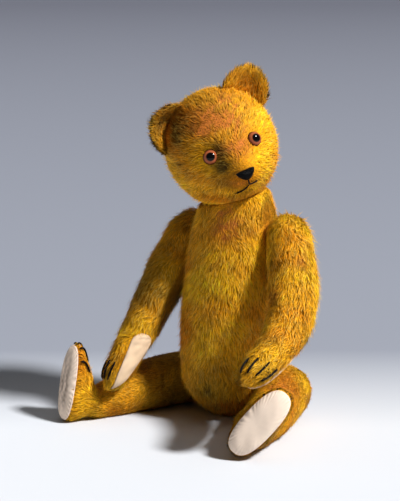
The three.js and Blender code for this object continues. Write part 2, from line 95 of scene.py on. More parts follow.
# Limbs: distance along, offset across, half height, half thickness, offset outwards
LEG_STATIONS = (
    (-34, 0, 19, 17, 0),
    (-12, 0, 23, 21.5, 0),
    (20, 0, 23.5, 21.5, 0.5),
    (50, -3, 21, 20, 1),
    (72, -7, 17, 17.5, 0.5),
    (86, -8, 15, 16.5, 0),
    (96, 3, 23.5, 17, 0),
    (105, 10.5, 33, 16.6, 0),
    (112, 12, 35, 15.6, 0),
)
ARM_STATIONS = (
    (-24, 0, 18, 15, 0),
    (0, 0, 21.5, 19, 0),
    (32, 0, 23, 20, 1),
    (66, 0, 20.5, 18.2, 1),
    (98, 1, 17, 15.6, 0.5),
    (128, 3.5, 14.6, 13, 0),
    (152, 5.5, 11.4, 10.2, 0),
)
LIMB_LUMPS = dict(depth=0.4, size=26, seed=21)
LIMB_BARE_BELOW = 0.2
JOINT_CAP = {"arm": 22, "leg": 28}  # rounding of the end at the joint
TIP_CAP = {"arm": 16, "leg": 4}  # rounding of the paw's tip and of the foot's edge
TWIST_SPAN = (15, 95)  # a leg twists between these distances along it
TOES_FROM = 78  # from here a foot's toes lie back
LEG_THICKER = 1.25  # how much closer a leg's pile stands
LEG_SHORTER = 0.62  # a leg's pile is worn to this share

# Each limb: how it hangs, as the solids have it, its palm and claws in degrees round it, how far its claws
# lie in the pile (below 0 where they stand out of it), and its darker patches as in the tables of wear, which
# are painted shade on the right arm and the right leg
PLAIN_LIMB = dict(turn=0, bend=0, bow=0, twist=0, toes=0, girth=1)
LIMBS = {
    "arm_left": dict(
        PLAIN_LIMB, side=1, joint="shoulder_left", at=(53.2, 8, 157), raised=49, lean=16.5, bend=18, bow=8,
        palm_roll=0, palm_width=30, claw_angles=(-14, 24, 62, 96), claw_sunk=-0.3,
        dull=((60, -30, 150, 12, 0.3),), seed=71,
    ),
    "arm_right": dict(
        PLAIN_LIMB, side=-1, joint="shoulder_right", at=(-45.5, 6, 151.5), raised=33.5, lean=11.5,
        girth=0.91, palm_roll=115, palm_width=35, claw_angles=(8, 36, 66, 94), claw_sunk=0.0,
        # Painted shade: the upper arm darkened on its side towards the torso
        dull=((-60, -30, 110, 30, 0.7),), seed=73,
    ),
    "leg_left": dict(
        PLAIN_LIMB, side=1, joint="hip_left", at=(51, 6, 23), raised=90.2, lean=-12, turn=15.5, twist=28,
        toes=0.08, claw_angles=(68, 94, 120, 146), claw_sunk=2.6,
        dull=((60, -80, 4, 20, 0.5),), seed=81,
    ),
    "leg_right": dict(
        PLAIN_LIMB, side=-1, joint="hip_right", at=(-51.5, 4, 22), raised=90, lean=-8, turn=28, twist=-6,
        toes=0.2, girth=0.96, claw_angles=(68, 94, 120, 146), claw_sunk=0.3,
        # Painted shade: the thigh darkened next to the torso
        dull=((-54, -14, 14, 30, 0.85),), seed=83,
    ),
}

# Claws
CLAW_ALONG = {"arm": (129, 146), "leg": (99, 110.5)}  # where they start and end along the limb
CLAW_STEPS = 14
CLAW_BULGE = 0.3  # rise of a claw's middle
CLAW_CLEARING = 2.2  # radius of the thinner pile round a claw
CLAW_COVERED = 1  # a claw sunk deeper than this is left covered
CLAW_STAIN = 6  # radius of the dirt round a paw's claws
CLAW_STAIN_SHARE = 0.45

# Palms
PALM_SPAN = (96, 150.5)  # where a palm starts and ends along the arm
PALM_STEPS = 46
PALM_SIDES = 29
PALM_ROUNDED = (0.22, 0.28)  # shares of its length that are rounded at the wrist and at the tip
PALM_TAPER = (1.4, 0.75)  # width at the wrist, and how much of it is lost on the way to the tip
PALM_RADIUS = 13  # a paw's mean radius, which turns angles into distances
PALM_CUSHION = 1.3
PALM_CREASES = 0.8
PALM_SUNK = 0.3  # how far its underside goes below the skin
PALM_CLEARING = 0.8  # no pile grows nearer than this

# Soles
SOLE_EDGE = 0.94  # the sole's size against the foot's
SOLE_DOME = 5
SOLE_FULLNESS = 0.6
SOLE_SQUARED = 0.08
SOLE_NARROWED = 0.1
FOOT_SPAN = (88, 106)  # where a leg's outline changes to the sole's
SOLE_SIDES = 160
SOLE_RINGS = 44
SOLE_LAST = 0.985  # share of the dome that the last ring reaches
SOLE_LUMPS = 0.35
GATHERS = 44
GATHERS_REACH = 0.15  # share of the sole's radius over which the gathers die away

# Head, in its own frame: the face is -Y, its left is +X
HEAD_AT = (-3.5, -8, 234.5)
HEAD_TURNED = dict(x=-2.5, y=-20, z=47)
HEAD_RADII = (46.5, 45, 50)
HEAD_SHORTER = 0.88  # the head's pile is worn to this share
MUZZLE_DIRECTION = (0, -1, -0.32)
MUZZLE_LENGTH = 15
MUZZLE_SPREAD = 0.085
EYE_AT = (20, 4.5)
EYE_SUNK = 1.6
EYES = {  # side, and how much of the skin's own sideways slope it keeps
    "eye_left": dict(side=1, sideways=0.75),
    "eye_right": dict(side=-1, sideways=0.3),
}
EYE_LOOKS_UP = 8
EYE_DEPTH = 0.85  # an eye's depth against its width
EYE_SIDES = 48
PUPIL_EDGE = (0.55, 0.61)  # shares of the eye's radius
RIM_SHADE = (0.76, 1.0)
SOCKET_RADIUS = 9
SOCKET_DEPTH = 1.4
EAR_RADII = (20.5, 4, 24)
EAR_CUP = 9
EAR_CUP_TOP = 0.3
EAR_DISH = 0.9
EAR_THICKER = 1.3
EAR_SHORTER = 0.95
EARS = {
    "ear_left": dict(side=1, from_top=43, back=4, fold=6, size=1, seed=61),
    "ear_right": dict(side=-1, from_top=48, back=8, fold=42, size=1.14, seed=62),
}
# Nose: how many threads, their radius, the places of the outermost and of the outline's edge, the top and
# how far it falls sideways, the bottom and how far it rises, lift off the skin, padding, narrowing downwards
NOSE = dict(
    threads=23, radius=0.5, outermost=7.8, edge=8.2, top=-12.2, falls=1.4, bottom=-21.6, rises=4.6,
    lift=0.5, padding=2.2, narrowed=0.25,
)
NOSE_CORNERS = ((-5, 0, 5, 0), (-15, -15, -15, -19))  # sideways and up, round which the pile is kept clear
MOUTH_TOP = -21.5
MOUTH_FORK = -26
MOUTH_CORNERS = ((-11, -31, 1.4), (8.5, -26.2, 0.1))  # sideways, up, and how far the thread sags
MOUTH_THINNER = 0.75
MOUTH_LIFT = 0.6

# Wear, dirt and painted shade: x, y, z, radius, strength, in the row frame, and for the head and ears in the
# head's own
TORSO_WORN = (
    (12, -28, 173, 17, 1.0),
    (22, -30, 158, 9, 0.6),
    (30, -32, 140, 9, 0.8),
    (-8, -34, 150, 7, 0.5),
    (8, -42, 96, 10, 0.4),
    (-20, 38, 90, 22, 0.5),
)
# Darker patches; the second, low on the belly in the lap, is painted shade
TORSO_DIRT_AND_SHADE = ((-40, -6, 60, 26, 0.3), (4, -38, 30, 30, 0.52))
LIMB_WORN = (
    (-92, -76, 24, 11, 0.9),
    (-80, -60, 30, 9, 0.6),
    (70, -30, 32, 16, 0.7),
    (66, -40, 120, 10, 0.4),
    (-75, -20, 34, 10, 0.4),
)
HEAD_WORN = (
    (-6, -34, 32, 18, 1.0),
    (8, -38, 24, 14, 0.9),
    (2, -47, 4, 10, 0.9),
    (14, -24, 40, 14, 0.8),
    (-20, -20, 40, 10, 0.4),
)
HEAD_DIRT_AND_SHADE = (
    (-32, -16, 30, 17, 0.9),
    # These three are painted shade: at the inner corner of the right eye and down the right side of the
    # muzzle
    (-11, -46, 4, 8, 1.3),
    (-12, -48, -6, 8, 1.3),
    (-16, -46, -18, 9, 0.6),
    (-40, -20, 2, 10, 0.3),
    (-8, -36, -34, 10, 0.5),
    (-46, 0, 42, 15, 0.75),
    (-4, -30, 36, 24, 0.55),
)

# Locks of pile: lengths and widths against the sizes that a user sets, angles in radians
PILE_LOCKS = 16000  # most locks in one piece
LOCK_LENGTHS = (0.6, 1.25)
LOCK_WIDTHS = (0.7, 1.25)
LOCK_KNEE = 0.4  # share of a lock that rises before it bends down
LOCK_SWIRL = 0.5  # how far the nap swirls
LOCK_STRAY = 0.2  # how far a lock strays from the nap
LOCK_TILT = 0.14  # how far its rise and fall vary
LOCK_SECTION = 0.75  # its depth against half its width
LOCK_AT_KNEE = 0.85  # its width at the knee
LOCK_ROOTED = 0.3  # how far its root goes into the cloth
LOCK_FLOOR = dict(root=0.02, knee=0.1, tip=0.05)  # lowest heights, on the floor
LOCK_ROUND = 0.6  # how far its shading is that of a round lock, and not of the cloth
WISPS = 0.2  # share of the locks that are thin, pale and stand out from a full coat
WISP = dict(longer=1.25, thinner=0.55, rise=0.2, fall=0.3, lighter=0.35)
LOCK_CLUMPS = 0.28  # how far neighbouring locks differ in tone from the next few
LOCK_UNEVEN = 0.38  # how far each lock differs
LOCK_TONE = 0.94
# Painted shade deep in the pile: how much darker a full-length lock is at its root
LOCK_ROOT_SHADE = 0.28
LOCK_BLEACHED = 0.95  # how far the palest tips are bleached
LOCK_FEW_BLEACHED = 1.7  # the higher, the fewer tips are pale


class BearSizes(bpy.types.PropertyGroup):
    """Sizes a user would change"""

    pile_length: FloatProperty(
        name="Pile length",
        description="Length of the mohair where it isn't worn",
        default=8.0 * MM,
        unit="LENGTH",
    )
    tuft_width: FloatProperty(
        name="Tuft width",
        description="Width of one lock of pile at its root",
        default=0.72 * MM,
        unit="LENGTH",
    )
    pile_density: FloatProperty(
        name="Pile density", description="Locks of pile in a square centimetre", default=100.0
    )
    root_angle: FloatProperty(
        name="Root angle",
        description="How steeply the pile leaves the cloth",
        default=math.radians(26),
        subtype="ANGLE",
    )
    tip_angle: FloatProperty(
        name="Tip angle", description="How steeply its tips lie", default=math.radians(5), subtype="ANGLE"
    )
    eye_radius: FloatProperty(
        name="Eye radius", description="Half the width of a glass eye", default=6.3 * MM, unit="LENGTH"
    )
    thread_radius: FloatProperty(
        name="Thread radius",
        description="Half the width of the claw and mouth thread",
        default=0.9 * MM,
        unit="LENGTH",
    )
    pucker: FloatProperty(
        name="Pucker", description="Depth of the gathers round a sole", default=1.5 * MM, unit="LENGTH"
    )


class BearColours(bpy.types.PropertyGroup):
    """Colours a user would change, as sRGB hex"""

    gold: StringProperty(name="Gold", description="Mohair that has kept its colour", default="#F6B119")
    ochre: StringProperty(name="Ochre", description="Mohair that has browned", default="#CE7A0A")
    # Olive is mixed in for dirt, and in some listed patches also for painted shade
    olive: StringProperty(name="Olive", description="Mohair that has dulled with dirt", default="#4A3410")
    tip: StringProperty(name="Tip", description="Bleached ends of the pile", default="#FFDD6C")
    bare: StringProperty(name="Bare", description="Woven backing where the pile has gone", default="#C4702A")
    cotton: StringProperty(name="Cotton", description="Cotton cloth of the soles", default="#FDE6D0")
    palm: StringProperty(name="Palm", description="Cotton cloth of the palms, yellower", default="#DFC19E")
    # Mixed into the pads for dirt, and on the soles also for painted shade
    soil_and_shade: StringProperty(name="Soil", description="Dirt on the pads", default="#977F6E")
    amber: StringProperty(name="Amber", description="Glass of the eyes", default="#8E4A2A")
    pupil: StringProperty(name="Pupil", description="Middle of the eyes", default="#060404")
    thread: StringProperty(name="Thread", description="Nose, mouth and claws", default="#070606")
    hardboard: StringProperty(name="Hardboard", description="Joint discs", default="#6B4A2C")
    steel: StringProperty(name="Steel", description="Washers, pins and eye wires", default="#8F9194")
    floor_near: StringProperty(name="Floor", description="Floor round the bear", default="#D2D5DA")
    floor_middle: StringProperty(name="Middle floor", description="Floor behind the bear", default="#8D919C")
    floor_far: StringProperty(name="Far floor", description="Floor in the distance", default="#62646E")


def sizes():
    return bpy.context.scene.bear_sizes


def linear(hex_text):
    """An sRGB hex colour as linear red, green and blue."""
    srgb = np.array([int(hex_text[i : i + 2], 16) for i in (1, 3, 5)]) / 255
    return np.where(srgb <= 0.04045, srgb / 12.92, ((srgb + 0.055) / 1.055) ** 2.4)


def colour(name):
    return linear(getattr(bpy.context.scene.bear_colours, name))


# Arrays

def unit(vectors):
    return vectors / np.maximum(np.linalg.norm(vectors, axis=-1, keepdims=True), 1e-9)


def mix(first, second, share):
    """First where share is 0, second where it is 1."""
    return first + (second - first) * np.asarray(share)[..., None]


def smooth(value, low, high):
    """0 below low, 1 above high, and an S-shaped rise between."""
    t = np.clip((value - low) / (high - low), 0, 1)
    return t * t * (3 - 2 * t)


def growing(least, value, low, high):
    """The least below low, 1 above high, and an S-shaped rise between."""
    return least + (1 - least) * smooth(value, low, high)


def nearest(points, others):
    """The distance from each point to the nearest of the others."""
    return np.linalg.norm(points[..., None, :] - others, axis=-1).min(-1)


def eased(count):
    """Steps from 0 to 1, closer together at both ends."""
    return 0.5 - 0.5 * np.cos(np.pi * np.arange(count) / (count - 1))


def circle(count):
    return 2 * np.pi * np.arange(count) / count


def polar_rings(count):
    """Angles from one pole to the other, as a column, half a step clear of both."""
    return (np.pi * (np.arange(count) + 0.5) / count)[:, None]


def stacked(*parts):
    return np.stack(np.broadcast_arrays(*parts), -1)


def rotation(x=0.0, y=0.0, z=0.0):
    """The matrix that turns about X, then Y, then Z, in degrees."""
    cx, cy, cz = np.cos(np.radians([x, y, z]))
    sx, sy, sz = np.sin(np.radians([x, y, z]))
    about_x = np.array([[1, 0, 0], [0, cx, -sx], [0, sx, cx]])
    about_y = np.array([[cy, 0, sy], [0, 1, 0], [-sy, 0, cy]])
    about_z = np.array([[cz, -sz, 0], [sz, cz, 0], [0, 0, 1]])
    return about_z @ about_y @ about_x


def stations(rows, t):
    """Rows of a station table at t from 0 to 1, on a Catmull-Rom curve through them with mirrored ends."""
    rows = np.asarray(rows, float)
    spans = len(rows) - 1
    longer = np.vstack([2 * rows[0] - rows[1], rows, 2 * rows[-1] - rows[-2]])
    x = np.clip(t, 0, 1) * spans
    i = np.minimum(x.astype(int), spans - 1)
    f = (x - i)[..., None]
    a, b, c, d = (longer[i + k] for k in range(4))
    square = 2 * a - 5 * b + 4 * c - d
    cube = 3 * b - a - 3 * c + d
    return 0.5 * (2 * b + (c - a) * f + square * f**2 + cube * f**3)


def waves(points, size, seed, count=10):
    """Smooth noise near -1 to 1: plane waves in random directions, with lengths near size, added up."""
    rng = np.random.default_rng(seed)
    ways = unit(rng.normal(size=(count, 3)))
    lengths = size * rng.uniform(0.6, 1.6, count)
    phases = rng.uniform(0, 2 * np.pi, count)
    return np.sin(points @ (2 * np.pi * ways / lengths[:, None]).T + phases).sum(-1) / 4


def patches(points, spots):
    """Soft round patches: at each point the largest of strength * exp(-(distance / radius)^2)."""
    spots = np.asarray(spots, float)
    away = points[..., None, :] - spots[:, :3]
    return (spots[:, 4] * np.exp(-(away**2).sum(-1) / spots[:, 3] ** 2)).max(-1)


def press(points, at, towards):
    """Lays points that are past a plane flat on it."""
    past = np.maximum((points - at) @ towards, 0)
    return points - past[..., None] * towards


def joint_plane(name, side):
    """A joint's centre and the direction from the torso into the part that turns."""
    joint = next(j for j in frame["joints"] if j["name"] == name)
    axis = np.array(joint["axis"], float)
    return np.array(joint["pos_m"], float) / MM, axis if side == 0 else -side * axis


def wall(name, side, of_torso):
    """The plane that one side of a joint keeps to: a point on it and the direction away from that side."""
    at, towards = joint_plane(name, side)
    return (at - GAP / 2 * towards, towards) if of_torso else (at + GAP / 2 * towards, -towards)


def joint_room(points, name, side, covered):
    """How near points are to a joint's face, and False where the other part covers them there."""
    at, towards = joint_plane(name, side)
    away = points - at
    depth = np.abs(away @ towards)
    beside = np.linalg.norm(away - (away @ towards)[..., None] * towards, axis=-1)
    bare = (depth < JOINT_FACE) & (beside < covered)
    return depth + np.maximum(beside - covered, 0), ~bare


def grid_normals(points):
    """Outward directions of a grid of rings: the cross product of its slopes along and round."""
    along = np.gradient(points, axis=0)
    around = np.roll(points, -1, axis=1) - np.roll(points, 1, axis=1)
    normals = unit(np.cross(around, along))
    outwards = points - points.mean(axis=1, keepdims=True)
    return normals * np.sign((normals * outwards).sum())


def stuffed(points, depth, size, seed):
    """Points moved in under the pile along their normals, and in and out by soft lumps of stuffing."""
    return points + (depth * waves(points, size, seed) - PILE_DEPTH)[..., None] * grid_normals(points)


def above(points, height):
    """Points with those that are below a height lifted to it."""
    lifted = points.copy()
    lifted[..., 2] = np.maximum(lifted[..., 2], height)
    return lifted


# Meshes

UV_POLE = 0.06  # share of a UV cell's height at each end that the end fans take
UV_CELL = 0.96  # share of a UV cell that is filled


def loft(name, rings, ends, colours=None, numbers=None, facing=None):
    """Closed skins over rings of points, rings[skin, ring, place], each closed by its two end points.

    Every skin has its own cell of the UV map, with round it across the cell and along it up the cell. Where
    facing is given, it is what the points shade by instead of their own normals.
    """
    skins, count, sides = rings.shape[:3]
    ring = np.arange(count - 1)[:, None] * sides
    j = np.arange(sides)
    k = (j + 1) % sides
    first, last = np.full(sides, count * sides), np.full(sides, count * sides + 1)
    top = (count - 1) * sides
    quads = np.stack([ring + j, ring + k, ring + sides + k, ring + sides + j], -1).reshape(-1, 4)
    fans = np.concatenate([np.stack([first, k, j], -1), np.stack([last, top + j, top + k], -1)])

    height = np.linspace(UV_POLE, 1 - UV_POLE, count)
    level = np.arange(count - 1)[:, None, None] + [0, 0, 1, 1]
    quad_uv = stacked((j[:, None] + [0, 1, 1, 0]) / sides, height[level]).reshape(-1, 4, 2)
    start_uv = stacked((j[:, None] + [0.5, 1, 0]) / sides, [0, UV_POLE, UV_POLE])
    end_uv = stacked((j[:, None] + [0.5, 0, 1]) / sides, [1, 1 - UV_POLE, 1 - UV_POLE])
    fan_uv = np.concatenate([start_uv, end_uv])

    points = np.concatenate([rings.reshape(skins, -1, 3), ends], axis=1)
    about_middle = points - points.mean(axis=1, keepdims=True)
    a, b, c, d = (about_middle[:, quads[:, place]] for place in range(4))
    if (np.cross(c - a, d - b) * (a + b + c + d)).sum() < 0:
        quads, fans, quad_uv, fan_uv = quads[:, ::-1], fans[:, ::-1], quad_uv[:, ::-1], fan_uv[:, ::-1]

    offset = np.arange(skins)[:, None, None] * points.shape[1]
    cells = math.ceil(math.sqrt(skins))
    corner = np.stack([np.arange(skins) % cells, np.arange(skins) // cells], -1)[:, None, None] / cells
    corners = np.concatenate([(quads + offset).ravel(), (fans + offset).ravel()])
    lengths = np.repeat([4, 3], [skins * len(quads), skins * len(fans)])
    uv = np.concatenate([(corner + part * UV_CELL / cells).reshape(-1, 2) for part in (quad_uv, fan_uv)])

    mesh = bpy.data.meshes.new(name)
    mesh.vertices.add(points.shape[0] * points.shape[1])
    mesh.vertices.foreach_set("co", (points * MM).astype(np.float32).ravel())
    mesh.loops.add(len(corners))
    mesh.loops.foreach_set("vertex_index", corners.astype(np.int32))
    mesh.polygons.add(len(lengths))
    mesh.polygons.foreach_set("loop_start", (np.cumsum(lengths) - lengths).astype(np.int32))
    mesh.polygons.foreach_set("use_smooth", np.ones(len(lengths), bool))
    mesh.uv_layers.new(name="OFBake").data.foreach_set("uv", uv.astype(np.float32).ravel())
    for key, values in (colours or {}).items():
        attribute = mesh.color_attributes.new(key, "FLOAT_COLOR", "POINT")
        values = np.broadcast_to(values, points.shape).reshape(-1, 3)
        rgba = np.concatenate([values, np.ones((len(values), 1))], axis=1)
        attribute.data.foreach_set("color", rgba.astype(np.float32).ravel())
    for key, values in (numbers or {}).items():
        attribute = mesh.attributes.new(key, "FLOAT", "POINT")
        values = np.broadcast_to(values, points.shape[:2])
        attribute.data.foreach_set("value", values.astype(np.float32).ravel())
    mesh.update(calc_edges=True)
    mesh.validate()
    if facing is not None:
        mesh.normals_split_custom_set_from_vertices(facing.reshape(-1, 3))
    piece = bpy.data.objects.new(name, mesh)
    bpy.context.scene.collection.objects.link(piece)
    return piece


def dress(piece, make, body, node=None):
    """Gives a piece its material and the body it rides on, and hides the solid it stands for."""
    piece.data.materials.append(material_named(make))
    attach(piece, body)
    if node is not None:
        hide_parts(node)


def one_skin(name, points, attribute, shade):
    """A closed skin over one grid of rings, with its colours in an attribute."""
    ends = np.stack([points[0].mean(0), points[-1].mean(0)])
    shades = np.concatenate([shade.reshape(-1, 3), shade[:1].mean(1), shade[-1:].mean(1)])
    return loft(name, points[None], ends[None], {attribute: shades[None]})


def mohair_skin(node, body, points, coat, wear):
    """A stuffed skin of backing: the coat's colour darkened as painted shade between the locks, and its own
    pinkish brown where they have gone.
    """
    # Painted shade: the backing between the locks is the coat's colour at 0.8
    ground = mix(coat * 0.8, colour("bare"), smooth(wear, 0.2, 0.9))
    dress(one_skin(f"{node}_skin", points, "Ground", ground), mohair_backing, body, node)


def cotton_pad(node, body, points, base, soil_and_shade):
    """A stuffed pad of cotton in a base colour, darkened towards the soil colour from 0 to 1 by dirt and
    painted shade.
    """
    shade = mix(colour(base), colour("soil_and_shade"), np.clip(soil_and_shade, 0, 1))
    dress(one_skin(f"{node}_cloth", points, "Cloth", shade), cotton, body, node)


def threads(name, node, body, paths, lifts, radius, sides=8):
    """Round threads along paths[thread, step], with rounded ends and lifts pointing away from the cloth."""
    steps = paths.shape[1]
    t = np.linspace(-1, 1, steps)
    taper = np.sqrt(np.maximum(1 - np.abs(t) ** 10, 0.02))[:, None, None]
    along = unit(np.gradient(paths, axis=1))
    across = unit(np.cross(along, lifts))
    up = np.cross(across, along)
    angle = circle(sides)[:, None]
    section = np.cos(angle) * across[:, :, None] + np.sin(angle) * up[:, :, None]
    rings = paths[:, :, None] + radius * taper * section
    reach = np.linalg.norm(np.diff(paths, axis=1), axis=-1).cumsum(axis=1)
    reach = np.concatenate([np.zeros((len(paths), 1)), reach], axis=1)
    ply = (reach[:, :, None] / (4 * radius) + np.arange(sides) / sides).reshape(len(paths), -1)
    ply = np.concatenate([ply, np.zeros((len(paths), 2))], axis=1)
    past_end = 0.3 * radius * along
    ends = np.stack([paths[:, 0] - past_end[:, 0], paths[:, -1] + past_end[:, -1]], axis=1)
    dress(loft(name, rings, ends, numbers={"Ply": ply}), black_thread, body, node)


def cells_of(grid):
    """The four corner values of every cell of a grid of rings."""
    closed = np.concatenate([grid, grid[:, :1]], axis=1)
    return closed[:-1, :-1], closed[:-1, 1:], closed[1:, 1:], closed[1:, :-1]


def pile(node, body, points, coat, nap, length, share, seed, walls=()):
    """Locks of mohair on a grid of rings: each leaves the cloth steeply and bends along the nap to a point.

    share is the part of the full density that grows at each grid point, and length that of the full length.
    Locks that would cross a wall, a point and a direction, lie flat on it.
    """
    rng = np.random.default_rng(seed)
    shown = sizes()
    a, b, c, d = cells_of(points)
    area = 0.5 * np.linalg.norm(np.cross(c - a, d - b), axis=-1)
    wanted = area / SQUARE_CM * shown.pile_density * sum(cells_of(share)) / 4
    total = wanted.ravel().cumsum()
    count = int(total[-1])
    cell = np.searchsorted(total, (np.arange(count) + rng.random(count)) * total[-1] / count)
    cell = np.minimum(cell, len(total) - 1)
    s, t = rng.random((2, count, 1))
    weights = ((1 - s) * (1 - t), s * (1 - t), s * t, (1 - s) * t)

    def at_root(grid):
        spread = [part.reshape(len(total), -1)[cell] for part in cells_of(grid)]
        return sum(w * part for w, part in zip(weights, spread))

    def noise(size, place):
        return waves(root, size, seed + place)[:, None]

    root = at_root(points)
    normal = unit(at_root(grid_normals(points)))
    along = at_root(nap)
    along = unit(along - (along * normal).sum(-1, keepdims=True) * normal)
    side = np.cross(normal, along)
    swirl = LOCK_SWIRL * noise(15, 1) + rng.normal(0, LOCK_STRAY, (count, 1))
    along = np.cos(swirl) * along + np.sin(swirl) * side
    side = np.cross(normal, along)

    kept = at_root(length[..., None])
    full = np.minimum(kept, 1)
    wisp = rng.random((count, 1)) < WISPS * full**2
    reach = shown.pile_length / MM * kept * rng.uniform(*LOCK_LENGTHS, (count, 1))
    reach = reach * np.where(wisp, WISP["longer"], 1)
    rise = shown.root_angle + rng.normal(0, LOCK_TILT, (count, 1)) + 0.1 * noise(7, 2) + WISP["rise"] * wisp
    fall = shown.tip_angle + rng.normal(0, LOCK_TILT, (count, 1)) + WISP["fall"] * wisp
    knee = root + LOCK_KNEE * reach * (np.cos(rise) * along + np.sin(rise) * normal)
    tip = knee + (1 - LOCK_KNEE) * reach * (np.cos(fall) * along + np.sin(fall) * normal)
    knee = above(knee, LOCK_FLOOR["knee"])
    tip = above(tip, LOCK_FLOOR["tip"])

    half = 0.5 * shown.tuft_width / MM * rng.uniform(*LOCK_WIDTHS, (count, 1))
    half = half * np.where(wisp, WISP["thinner"], 1)
    section = np.stack([side, -side, LOCK_SECTION * normal], axis=1)
    base = (root - LOCK_ROOTED * normal)[:, None] + half[:, None] * section
    bent = knee[:, None] + LOCK_AT_KNEE * half[:, None] * section
    ends = np.stack([base.mean(1), tip], axis=1)
    rings = above(np.stack([base, bent], axis=1), LOCK_FLOOR["root"])
    for plane in walls:
        rings = press(rings, *plane)
        ends = press(ends, *plane)

    clump = 1 + LOCK_CLUMPS * noise(4, 3)
    uneven = rng.uniform(-LOCK_UNEVEN, LOCK_UNEVEN, (count, 1)) * (0.3 + 0.7 * full)
    plain = at_root(coat) * clump * (LOCK_TONE + uneven + WISP["lighter"] * wisp)
    # Painted shade at the roots, less where the pile is short
    dark = plain * (1 - LOCK_ROOT_SHADE * full)
    bleached = LOCK_BLEACHED * rng.random(count) ** LOCK_FEW_BLEACHED * full[:, 0]
    light = mix(plain, colour("tip"), bleached)
    shades = np.clip(np.stack([dark] * 3 + [plain] * 3 + [dark, light], axis=1), 0, 1)
    facing = unit(np.concatenate([section, section], axis=1) * LOCK_ROUND + normal[:, None])
    facing = np.concatenate([facing, normal[:, None], normal[:, None]], axis=1)

    for number, some in enumerate(np.array_split(np.arange(count), math.ceil(count / PILE_LOCKS)), 1):
        label = f"{node}_pile_{number}"
        piece = loft(label, rings[some], ends[some], {"Pile": shades[some]}, facing=facing[some])
        dress(piece, mohair_pile, body)


def coat_of(points, worn, dull, seed):
    """Pile colour and wear, 0 to 1: gold and ochre in soft clouds, olive in dirt and painted shade, bare
    where worn.
    """
    wear = patches(points, worn) * (1 + 0.5 * waves(points, 7, seed))
    wear = np.clip(wear + 0.5 * np.maximum(waves(points, 26, seed + 1) - 0.55, 0), 0, 1)
    browned = np.clip(0.4 + 0.6 * waves(points, 34, seed + 2), 0, 1)
    soiled = 0.35 * np.maximum(waves(points, 16, seed + 3) - 0.3, 0)
    coat = mix(colour("gold"), colour("ochre"), browned)
    # Olive in the listed darker patches: dirt, and painted shade where the tables say so
    coat = mix(coat, colour("olive"), np.clip(patches(points, dull) + soiled, 0, 1))
    return mix(coat, colour("bare"), 0.75 * wear), wear


# Materials

def add_node(tree, kind, links=None, values=None, **settings):
    """Adds a node, sets it up and links its inputs: links gives (node, output) and values plain numbers."""
    node = tree.nodes.new(kind)
    for key, value in settings.items():
        setattr(node, key, value)
    for socket, value in (values or {}).items():
        node.inputs[socket].default_value = value
    for socket, (source, output) in (links or {}).items():
        tree.links.new(source.outputs[output], node.inputs[socket])
    return node


def new_material(name, base, roughness, **values):
    """A material with one Principled shader. Returns it, its node tree and the shader."""
    material = bpy.data.materials.new(name)
    material.use_nodes = True
    shader = material.node_tree.nodes["Principled BSDF"]
    shader.inputs["Base Color"].default_value = (*base, 1)
    shader.inputs["Roughness"].default_value = roughness
    for socket, value in values.items():
        shader.inputs[socket.replace("_", " ")].default_value = value
    return material, material.node_tree, shader


def material_named(make):
    """The material that a function makes, made only once."""
    label = f"made_{make.__name__}"
    known = bpy.context.scene.get(label)
    if known is None:
        known = make()
        bpy.context.scene[label] = known
    return known


def stored(tree, name):
    """A value kept at the points of the mesh."""
    return add_node(tree, "ShaderNodeAttribute", attribute_name=name)


def blotches(tree, size, detail):
    """Noise about as coarse as a size in millimetres, in the object's own space."""
    place = add_node(tree, "ShaderNodeTexCoord")
    values = {"Scale": 1 / (size * MM), "Detail": detail}
    return add_node(tree, "ShaderNodeTexNoise", {"Vector": (place, "Object")}, values)


def bump(tree, shader, source, depth, strength):
    """Raises and lowers a shader's surface by a node's output, over a depth in millimetres."""
    values = {"Strength": strength, "Distance": depth * MM}
    node = add_node(tree, "ShaderNodeBump", {"Height": source}, values)
    tree.links.new(node.outputs["Normal"], shader.inputs["Normal"])


def mohair_pile():
    """Mohair is a smooth, lustrous goat hair: locks with painted shade at their roots, bleached ends and a
    soft sheen.
    """
    sheen = dict(Specular_IOR_Level=0.16, Specular_Tint=(*colour("tip"), 1))
    material, tree, shader = new_material("mohair pile", colour("gold"), 0.5, **sheen)
    tree.links.new(stored(tree, "Pile").outputs["Color"], shader.inputs["Base Color"])
    return material


def mohair_backing():
    """The cotton backing that the pile is woven into: matt, and pinkish brown where the pile has worn away.

    Its weave is about 0.6 mm, drawn at 1.2 mm so that it shows.
    """
    material, tree, shader = new_material("mohair backing", colour("bare"), 0.9, Specular_IOR_Level=0.2)
    tone = stored(tree, "Ground")
    weave = blotches(tree, 1.2, 2.0)
    span = {"From Min": 0.3, "From Max": 0.7, "To Min": 0.55, "To Max": 1.25}
    shade = add_node(tree, "ShaderNodeMapRange", {"Value": (weave, "Fac")}, span)
    links = {0: (tone, "Color"), "Scale": (shade, "Result")}
    mixed = add_node(tree, "ShaderNodeVectorMath", links, operation="SCALE")
    tree.links.new(mixed.outputs["Vector"], shader.inputs["Base Color"])
    bump(tree, shader, (weave, "Fac"), 0.4, 0.6)
    return material


def cotton():
    """Plain cotton cloth, once cream: matt and soiled, with a fine weave drawn at 0.9 mm so that it shows."""
    material, tree, shader = new_material("cotton cloth", colour("cotton"), 0.85, Specular_IOR_Level=0.25)
    tree.links.new(stored(tree, "Cloth").outputs["Color"], shader.inputs["Base Color"])
    place = {"Vector": (add_node(tree, "ShaderNodeTexCoord"), "Object")}
    yarn = {"Scale": 0.314 / (0.9 * MM), "Distortion": 1.5, "Detail": 1.0}
    across, upright = (
        add_node(tree, "ShaderNodeTexWave", place, yarn, bands_direction=way) for way in ("DIAGONAL", "Z")
    )
    links = {0: (across, "Fac"), 1: (upright, "Fac")}
    weave = add_node(tree, "ShaderNodeMath", links, operation="MAXIMUM")
    bump(tree, shader, (weave, "Value"), 0.2, 0.35)
    return material


